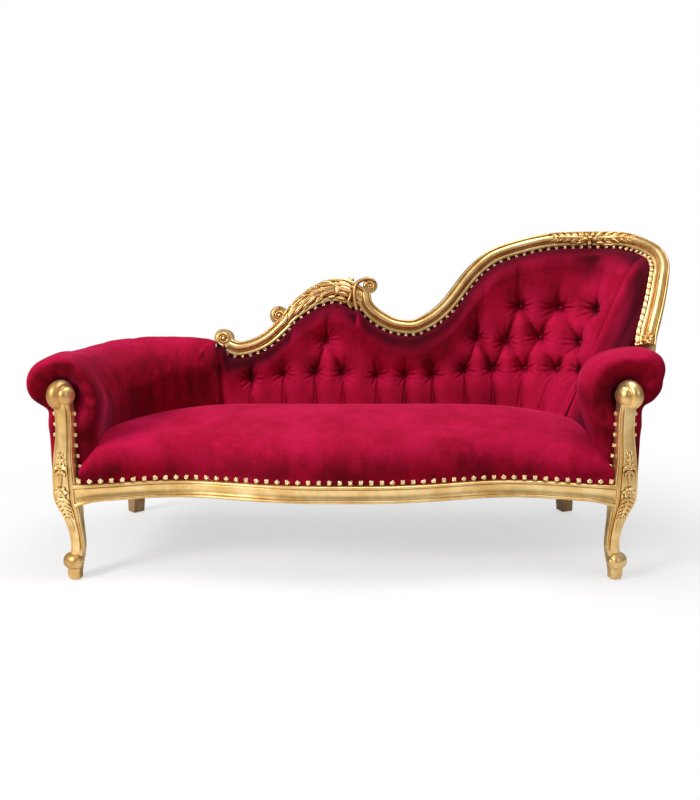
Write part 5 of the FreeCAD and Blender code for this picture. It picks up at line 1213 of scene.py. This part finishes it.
def arc_points(first, middle, last, count):
    # The arc through three places, from the first to the last.
    (ax, ay), (bx, by), (cx, cy) = first, middle, last
    d = 2 * (ax * (by - cy) + bx * (cy - ay) + cx * (ay - by))
    a, b, c = ax * ax + ay * ay, bx * bx + by * by, cx * cx + cy * cy
    centre = vec((a * (by - cy) + b * (cy - ay) + c * (ay - by)) / d,
                 (a * (cx - bx) + b * (ax - cx) + c * (bx - ax)) / d)
    angles = [math.atan2(*(vec(*place) - centre)[::-1]) for place in (first, middle, last)]
    while angles[1] > angles[0]:
        angles[1] -= 2 * math.pi
    while angles[2] > angles[1]:
        angles[2] -= 2 * math.pi
    turn = np.linspace(angles[0], angles[2], count)
    radius = math.hypot(ax - centre[0], ay - centre[1])
    return centre + np.stack([np.cos(turn), np.sin(turn)], axis=1) * radius


def softened(line, rounds):
    line = line.copy()
    for _ in range(rounds):
        line[1:-1] = line[1:-1] * 0.5 + (line[2:] + line[:-2]) * 0.25
    return line


def seat_skin(inset, low, skirt):
    # The stations lie closer together towards both ends, where the seat falls away.
    sections = []
    half = -SEAT_LEFT + (SKIRT_OUT if skirt else 0) - inset
    bend = math.pi / 2 * 0.985
    for x in SEAT_MIDDLE + half * np.sin(np.linspace(-bend, bend, 260)) / math.sin(bend):
        front = float(rail_face_y(x)) + SEAT_BEHIND_FACE + inset
        back = float(seat_back_y(np.clip(x, SEAT_LEFT + 1, SEAT_RIGHT - 1))) - inset
        fall = min(abs(x) / SEAT_RIGHT, 1) ** 4
        past = (max(abs(x - SEAT_MIDDLE) + SEAT_LEFT, 0) / 28) ** 1.3
        crown = CROWN + (SEAT_EDGE - CROWN) * fall - inset - 44 * past
        edge = SEAT_EDGE - inset - 40 * past
        shoulder_z = RAIL_TOP + (crown - RAIL_TOP) * 0.82
        rise = shoulder_z - FRAME_TOP
        shoulder = (front + rise * 0.82, shoulder_z)
        swell = (front + rise * 0.17, FRAME_TOP + rise * 0.66)
        middle = (shoulder[0] + (back - shoulder[0]) * 0.55, crown)
        rolled = arc_points((front, FRAME_TOP), swell, shoulder, 60)
        over = arc_points(shoulder, middle, (back, edge), 110)
        line = softened(np.concatenate([rolled, over[1:]]), 40)
        if skirt:
            line = np.concatenate([[(front - 1.5, 283.5), (front - 1.8, 290)], line])
        rear = [(back + 4, edge - 14), (back, low)]
        foot = [(front + 8, low), (front + 3, 284 if skirt else low + 2)]
        outline = np.concatenate([line, rear, foot])
        sections.append(np.stack([np.full(len(outline), x), outline[:, 0], outline[:, 1]], axis=1))
    return closed_skin(sections)


upholstered("seat_velvet", seat_skin(0, 306.5, True), ("seat_cover",))
stuffed = add_piece("seat_stuffing", seat_skin(12, 307.5, False), stuffing, ("seat_foam",))

# %% [markdown]
# The arms start from their CAD solids, remeshed to small even faces and relaxed until no edge is left.
# The front of each arm is gathered into a pit behind the gilded knob.
# Then cloth under pressure swells it, as stuffing swells its cover, while the nailed edges are held.

# %% Soft copies of the arms
def applied(work, kind, **settings):
    # Runs one modifier and returns the new mesh.
    modifier = work.modifiers.new(kind, kind)
    for name, value in settings.items():
        setattr(modifier, name, value)
    graph = bpy.context.evaluated_depsgraph_get()
    made = bpy.data.meshes.new_from_object(work.evaluated_get(graph))
    work.modifiers.clear()
    work.data = made
    return made


def work_object(nodes):
    parts = []
    for node in nodes:
        mesh = frame["nodes"][node].data
        parts.append((from_frame(mesh_points(mesh)), [list(face.vertices) for face in mesh.polygons]))
    points, faces = joined(parts)
    mesh = bpy.data.meshes.new("work")
    mesh.from_pydata(to_frame(points).tolist(), [], faces)
    work = bpy.data.objects.new("work", mesh)
    scene.collection.objects.link(work)
    return work


def skin_of(work):
    mesh = work.data
    faces = [list(face.vertices) for face in mesh.polygons]
    points = from_frame(mesh_points(mesh))
    bpy.data.objects.remove(work)
    return points, faces


def move_points(mesh, points):
    mesh.vertices.foreach_set("co", to_frame(points).ravel())
    mesh.update()


# %% [markdown]
# The left arm's top has a slow wave, and the right arm a fuller roll. Both are moved point by point.
# In front, the velvet is drawn in round the knob, with a lip outside the pit, as a gathered cover lies.

# %% The arms' outline and gathered front
# The camera's place, its tilt in degrees, and the picture's middle and lens in pixels
CAMERA_X, CAMERA_BACK, CAMERA_HEIGHT = 13.6, 2365.5, 949
CAMERA_DOWN = 10.3
CAMERA_TILT, TILT_COSINE = math.radians(CAMERA_DOWN), 0.984
PICTURE_MIDDLE, LENS_PIXELS = 350, 880
# Looking down brings the arm's top this much farther along the line of sight
LEFT_TOP_DEEP = 67
# How far the left arm's top is raised, in mm, by its pixel across the picture
LEFT_TOP = [(20, -3), (32, -6), (44, -8), (56, -3), (66, 2), (76, 2), (84, -4), (92, -12), (104, -18),
            (116, -18), (134, -18), (146, -13), (158, -11), (170, -7), (182, -3), (194, 2), (212, 3)]
RIGHT_ROLL = vec(800, 566)
ARM_INNER = 738
KNOB_PIT, KNOB_LIP = 30, 11


def from_knob(points, side):
    return points[:, [0, 2]] - vec(side * KNOB_X, KNOB_HEIGHT)


def shape_front(points, side):
    away = from_knob(points, side)
    distance = np.linalg.norm(away, axis=1)
    turn = np.arctan2(away[:, 1], away[:, 0])
    near = 1 - smooth_step(points[:, 1], 20, 75)
    gathers = 2.4 * np.cos(11 * turn) * np.exp(-((distance - 62) / 20) ** 2)
    pit = KNOB_PIT * np.exp(-(distance / 56) ** 2) + gathers
    lip = KNOB_LIP * np.exp(-((distance - 96) / 24) ** 2) * smooth_step(points[:, 2], 380, 450)
    points = points.copy()
    if side < 0:
        depth = (points[:, 1] + CAMERA_BACK) * TILT_COSINE + LEFT_TOP_DEEP
        across = PICTURE_MIDDLE + LENS_PIXELS * (points[:, 0] - CAMERA_X) / depth
        points[:, 2] += table(LEFT_TOP, across) * smooth_step(points[:, 2], 440, 560)
    else:
        roll = np.maximum(points[:, [0, 2]] - RIGHT_ROLL, 0)
        square = 2 * roll[:, 0] * roll[:, 1] / np.maximum((roll ** 2).sum(axis=1), 1)
        points[:, [0, 2]] += roll * (0.25 * square ** 1.5)[:, None]
    points[:, 1] += (pit - lip) * near
    inner = side * points[:, 0] < ARM_INNER
    limit = 8 - 34 * smooth_step(points[:, 2], 345, 425)
    points[:, 1] = np.where(inner & (points[:, 1] < limit), limit, points[:, 1])
    return points


# %% [markdown]
# Blender's cloth turns a stiff shape into a stuffed one: air pressure from inside presses the cover out,
# and the weave holds it together. Gravity stays off, because the frame carries the pad.

# %% Cloth under pressure
CLOTH_FRAMES = 20
CLOTH_REACH = 9
VOXEL = 5


def puffed(work, held, reach):
    # The cloth runs under inner pressure; the held points stay, and no point goes beyond the reach.
    rest = from_frame(mesh_points(work.data))
    group = work.vertex_groups.new(name="held")
    group.add(np.nonzero(held)[0].tolist(), 1.0, "REPLACE")
    modifier = work.modifiers.new("cloth", "CLOTH")
    settings = modifier.settings
    settings.quality = 4
    settings.mass = 0.3
    settings.use_pressure = True
    settings.uniform_pressure_force = 4
    settings.effector_weights.gravity = 0
    settings.vertex_group_mass = "held"
    modifier.point_cache.frame_start = 1
    modifier.point_cache.frame_end = CLOTH_FRAMES
    for frame_number in range(1, CLOTH_FRAMES + 1):
        scene.frame_set(frame_number)
    graph = bpy.context.evaluated_depsgraph_get()
    shift = from_frame(mesh_points(work.evaluated_get(graph).data)) - rest
    far = np.linalg.norm(shift, axis=1)
    work.modifiers.clear()
    work.vertex_groups.clear()
    scene.frame_set(1)
    print("cloth moved points by %.1f mm on average, %.1f at most" % (far.mean(), far.max()))
    return rest + shift * (np.minimum(far, reach) / np.maximum(far, 1e-6))[:, None]


# %% [markdown]
# The arm's steps in their order: remesh, relax, shape, blow up, and one subdivision for a smooth skin.

# %% The two arms
def arm_skin(side, names):
    work = work_object(names)
    applied(work, "REMESH", mode="VOXEL", voxel_size=VOXEL * MM)
    pairs = edge_pairs(work.data)
    points = smoothed(from_frame(mesh_points(work.data)), pairs, 26)
    points = smoothed(shape_front(points, side), pairs, 6)
    move_points(work.data, points)
    knob = np.linalg.norm(from_knob(points, side), axis=1)
    out, back, up = side * points[:, 0], points[:, 1], points[:, 2]
    held = (up < 335) | (out > 800) & (up < 500) | (knob < 50) & (back < 60) | (back > 585)
    started = time.time()
    points = smoothed(puffed(work, held, CLOTH_REACH), pairs, 2)
    print("cloth took %.0f s for %d points" % (time.time() - started, len(points)))
    move_points(work.data, points)
    applied(work, "SUBSURF", levels=1)
    return skin_of(work)


for side, name in ((-1, "left"), (1, "right")):
    nodes = (name + "_arm_pad", name + "_arm_facing")
    # The stored hollows paint shade into the arm's creases and a highlight onto its ridges.
    arm = upholstered(name + "_arm_velvet", arm_skin(side, nodes), nodes, (60, 7))
    points = from_frame(mesh_points(arm.data))
    away = np.linalg.norm(from_knob(points, side), axis=1)
    # Painted shade in the pit round the knob, fading out towards the back.
    add_painted_light_and_shade(arm, 0.7 * np.exp(-(away / 58) ** 2) * (1 - smooth_step(points[:, 1], 40, 110)))

# %% [markdown]
# Every nail is a domed brass head. The CAD nails give the place and the direction of each one.
# The heads are lifted a little, to sit on the velvet that they hold.

# %% Brass nails
NAIL_PROFILE = np.array([(-1, 4.6), (0.2, 5.3), (1.4, 4.9), (2.7, 3.6), (3.5, 1.6), (3.7, 0.3)])


def nail_places(node):
    mesh = frame["nodes"][node].data
    points = from_frame(mesh_points(mesh))
    owner = np.arange(len(points))
    pairs = edge_pairs(mesh)
    while True:
        lower = np.minimum(owner[pairs[:, 0]], owner[pairs[:, 1]])
        before = owner.copy()
        np.minimum.at(owner, pairs[:, 0], lower)
        np.minimum.at(owner, pairs[:, 1], lower)
        if (owner == before).all():
            break
    for group in np.unique(owner):
        corners = points[owner == group]
        centre = corners.mean(axis=0)
        top = corners[np.linalg.norm(corners - centre, axis=1).argmin()]
        rim = corners[np.linalg.norm(corners - top, axis=1) > 1].mean(axis=0)
        yield rim, unit(top - rim)


# Each row of nails: how far its heads are lifted, in mm, and their size
NAIL_ROWS = {"rail_nails": (0.8, 1.0), "crest_nails": (1.6, 0.7), "stile_nails": (1.6, 0.7),
             "left_post_nails": (0.6, 0.72), "right_post_nails": (0.6, 0.72)}
for node, (lift, size) in NAIL_ROWS.items():
    heads = []
    for place, axis in nail_places(node):
        if "post" in node and abs(place[0]) < HALF_SPAN:
            # The inner row follows the edge of the leg.
            place = place + vec(np.sign(place[0]) * 7 * smooth_step(place[2], 320, 420), -2, 0)
        heads.append(lathed(place + axis * lift, axis, NAIL_PROFILE * size, 20))
    add_piece(node + "_domed", joined(heads), brass, (node,))

# %% [markdown]
# The covers on the outside of the frame are velvet over a thin layer of wadding.
# A flat CAD cover has too few points to bend, so each one is copied with its long edges cut again and again.

# %% Finer copies of the covers
# How a triangle is split, by which of its sides are cut: 0 to 2 are its corners, 3 to 5 the sides' middles
SPLITS = {
    (True, True, True): [(0, 3, 5), (3, 1, 4), (5, 4, 2), (3, 4, 5)],
    (True, True, False): [(3, 1, 4), (0, 3, 4), (0, 4, 2)],
    (False, True, True): [(4, 2, 5), (0, 1, 4), (0, 4, 5)],
    (True, False, True): [(0, 3, 5), (3, 1, 2), (3, 2, 5)],
    (True, False, False): [(0, 3, 2), (3, 1, 2)],
    (False, True, False): [(0, 1, 4), (0, 4, 2)],
    (False, False, True): [(0, 1, 5), (1, 2, 5)],
    (False, False, False): [(0, 1, 2)],
}


def finer(node, longest):
    # The node's mesh with its points welded and every edge cut until none is longer than asked.
    mesh = frame["nodes"][node].data
    points, weld = np.unique(from_frame(mesh_points(mesh)).round(3), axis=0, return_inverse=True)
    weld = weld.ravel()
    faces = []
    for face in mesh.polygons:
        corners = weld[list(face.vertices)].tolist()
        faces += [[corners[0], corners[at], corners[at + 1]] for at in range(1, len(corners) - 1)]
    while True:
        edges = np.array(faces)[:, [0, 1, 1, 2, 2, 0]].reshape(-1, 2)
        edges = np.unique(np.sort(edges, axis=1), axis=0)
        length = np.linalg.norm(points[edges[:, 0]] - points[edges[:, 1]], axis=1)
        if length.max() < longest:
            return points, faces
        long_edges = edges[length >= longest]
        middle_of = {tuple(edge): len(points) + at for at, edge in enumerate(long_edges.tolist())}
        points = np.concatenate([points, points[long_edges].mean(axis=1)])
        split = []
        for face in faces:
            sides = [tuple(sorted((face[at], face[at - 2]))) for at in range(3)]
            corners = face + [middle_of.get(side) for side in sides]
            way = SPLITS[tuple(side in middle_of for side in sides)]
            split += [[corners[at] for at in triangle] for triangle in way]
        faces = split


# %% [markdown]
# The velvet of the outside is pulled flat from edge to edge, and only its light swell shows that it is cloth.
# Waves from a seeded random start give a swell that is the same on each run.

# %% The stretched covers
def waves(points, size, seed):
    # A smooth random height over space, from a few waves of different directions.
    chance = np.random.default_rng(seed)
    total = np.zeros(len(points))
    for _ in range(9):
        way = unit(chance.normal(size=3)) * chance.uniform(0.6, 1.6) * 2 * math.pi / size
        total += np.sin(points @ way + chance.uniform(0, 6.28))
    return total / 3


def stretched_cover(name, node, finish, swell, seed, longest):
    points, faces = finer(node, longest)
    if "outside" in node:
        # The upper edge goes up behind the roll of the arm.
        points[:, 2] += 26 * smooth_step(points[:, 2], 455, 488) * (points[:, 2] < 491)
    shift = swell * (0.5 + 0.5 * waves(points, 160, seed))
    mesh = bpy.data.meshes.new("cover")
    mesh.from_pydata(to_frame(points).tolist(), [], faces)
    normals = np.array([vertex.normal for vertex in mesh.vertices])
    return add_piece(name, (points + normals * shift[:, None], faces), finish, (node,), sharp=50)


VELVET_SWELL, VELVET_EDGE = 1.2, 22
for seed, side in ((20, "left_outside"), (21, "right_outside"), (22, "wing_outside")):
    cover = stretched_cover(side + "_velvet", side + "_cover", crimson, VELVET_SWELL, seed,
                            VELVET_EDGE)

# %% [markdown]
# The outside of the back is one panel of velvet from behind the left arm to the wing.
# Its foot follows the frame and its top laps over the backs of the crest's rails, where it is tacked,
# so it is drawn as a grid between those two lines.

# %% The outside back
BACK_LEFT, BACK_RIGHT = -430, 765
# The panel starts higher behind the left arm, and rises to the wing past the raking edge of the head.
ARM_BEHIND, WING_FROM = -384, 656
BACK_FOOT, FOOT_OVER_ARM, FOOT_AT_WING, WING_SLOPE = 238, 488, 440, 4.6
LAP = 7
LINING = 3.4


def back_cover_foot(x):
    if x < ARM_BEHIND:
        return FOOT_OVER_ARM
    return BACK_FOOT if x < WING_FROM else FOOT_AT_WING + (x - WING_FROM) * WING_SLOPE


def back_cover_skin():
    head_strip = strip_line(head)
    sections = []
    for x in np.linspace(BACK_LEFT, BACK_RIGHT, 270):
        over, edge_z = (crest_x, crest_low) if x < 560 else (head_strip[:, 0], head_strip[:, 2])
        top = np.interp(x, over, edge_z)
        low = back_cover_foot(x)
        z = np.linspace(low, max(top + LAP, low + 5), 90)
        flat = np.stack([np.full_like(z, x), outside_back_y(z), z], axis=1)
        inward = np.minimum(np.minimum(z - low, z[-1] - z), 30) / 30
        swell = 0.6 + 1.8 * inward * (0.6 + 0.4 * waves(flat, 170, 22))
        outer = flat + vec(0, 1, 0) * swell[:, None]
        sections.append(np.concatenate([outer, (flat - vec(0, LINING, 0))[::-1]]))
    return closed_skin(sections)


upholstered("back_outside_velvet", back_cover_skin(), ("outside_back_cover",))

# %% [markdown]
# Under the seat, a black cloth keeps dust off the floor, and a hessian over the webbing carries the stuffing.
# Both are thin sheets, cut to the size of the frame and tacked all round, so they are nearly flat.

# %% Dust cloth and hessian
DUST_SWELL, HESSIAN_SWELL, SHEET_EDGE = 0.8, 0.4, 40
dust = stretched_cover("dust_cloth", "dust_cover", dust_cloth, DUST_SWELL, 31, SHEET_EDGE)
hessian = stretched_cover("hessian_cloth", "seat_hessian", jute, HESSIAN_SWELL, 32, SHEET_EDGE)

# %% [markdown]
# The hidden frame keeps its CAD shapes and takes real finishes: planed beech, jute webbing and plated steel.

# %% Finishes of the frame
FINISHES = {"gilded_wood": rear_gilding_painted_shade, "frame_timber": beech, "jute": jute, "plain_steel": steel,
            "brass_nails": brass, "seat_stuffing": stuffing, "black_cloth": dust_cloth,
            "crimson_velvet": crimson}
for row in frame["record"]["subparts"]:
    mesh = frame["nodes"][row["node"]].data
    mesh.materials.clear()
    mesh.materials.append(FINISHES[row["material_slot"]])

# %% [markdown]
# The camera stands where the photographer stood: low, square to the seat and well back.
# Its place and tilt come from the feet, the rails and the crest. The place is given in the frame's metres.
# The left arm's outline uses the same place, rounded and in millimetres.

# %% Camera
CAMERA_PLACE = (-0.04978, -2.6844, 0.949)
camera_data = bpy.data.cameras.new("camera")
camera = bpy.data.objects.new("camera", camera_data)
scene.collection.objects.link(camera)
camera.location = CAMERA_PLACE
camera.rotation_euler = (math.radians(90 - CAMERA_DOWN), 0, 0)
camera_data.sensor_fit = "VERTICAL"
camera_data.sensor_height = 36
camera_data.lens = 39.6
scene.camera = camera
scene.view_settings.view_transform = "Standard"
print("camera at", tuple(round(value, 3) for value in camera.location))

# %% [markdown]
# The studio is white paper. Near the piece the floor takes soft shadows; farther out it fades to plain white.
# The white is only what the camera sees: a Light Path keeps it out of the light that falls on the piece.

# %% Floor and backdrop light
FLOOR_HALF = 9
floor_mesh = bpy.data.meshes.new("studio_floor")
corners = [(x * FLOOR_HALF, y * FLOOR_HALF, 0) for x, y in ((-1, -1), (1, -1), (1, 1), (-1, 1))]
floor_mesh.from_pydata(corners, [], [(0, 1, 2, 3)])
floor = bpy.data.objects.new("studio_floor", floor_mesh)
scene.collection.objects.link(floor)
floor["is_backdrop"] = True
paper = Paint("studio_paper")
paper.set(Base_Color=(0.9, 0.9, 0.9, 1), Roughness=0.95, Specular_IOR_Level=0.0)
seen = paper.node("ShaderNodeLightPath", {}, {}, "Is Camera Ray")
away = paper.node("ShaderNodeVectorMath", {"operation": "LENGTH"}, {0: paper.points}, "Value")
white = paper.node("ShaderNodeEmission", {}, {"Color": (1, 1, 1, 1), "Strength": 1.0})
lit = Value(paper, paper.shader.outputs["BSDF"])
fade = (away.between(0.9, 1.9) * 0.4 + 0.6) * seen
surface = paper.node("ShaderNodeMixShader", {}, {0: fade, 1: lit, 2: white})
paper.give(paper.tree.nodes["Material Output"].inputs["Surface"], surface)
floor_mesh.materials.append(paper.material)

world = bpy.data.worlds.new("studio")
scene.world = world
world.use_nodes = True
sky = Nodes(world.node_tree)
direction = sky.node("ShaderNodeTexCoord", {}, {}, "Generated")
upward = sky.node("ShaderNodeSeparateXYZ", {}, {"Vector": direction}, "Z")
glow = sky.node("ShaderNodeMapRange", {}, {"Value": upward, "From Min": -0.1, "From Max": 0.9,
                                           "To Min": 0.08, "To Max": 0.56})
to_camera = sky.node("ShaderNodeLightPath", {}, {}, "Is Camera Ray")
through = sky.node("ShaderNodeLightPath", {}, {}, "Is Transmission Ray")
background = sky.tree.nodes["Background"]
sky.give(background.inputs["Color"], (1, 1, 1, 1))
sky.give(background.inputs["Strength"], to_camera.larger(through).larger(glow))
print("floor and world ready")

# %% [markdown]
# Soft boxes stand to the left and right, and a broad one hangs overhead.
# The left one is the brightest, as the bright left arm of the photograph asks.

# %% Lamps
def lamp(name, place, aim, width, power):
    data = bpy.data.lights.new(name, "AREA")
    data.size = width
    data.energy = power
    thing = bpy.data.objects.new(name, data)
    scene.collection.objects.link(thing)
    thing.location = place
    thing.rotation_euler = (Vector(aim) - Vector(place)).to_track_quat("-Z", "Y").to_euler()


lamp("key", (-2.7, -2.3, 2.1), (0.1, 0, 0.4), 1.1, 100)
lamp("fill", (2.4, -2.6, 1.6), (0, 0, 0.5), 1.2, 9)
lamp("top", (0.3, -0.1, 2.9), (0, 0, 0.4), 1.7, 44)

# %% [markdown]
# The box of the finished model is kept beside the box of the frame, so that the two can be compared.

# %% Sizes and finish
boxes = {"cad": cad_box, "visual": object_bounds()}
{name: [[float(value) for value in corner] for corner in box] for name, box in boxes.items()}
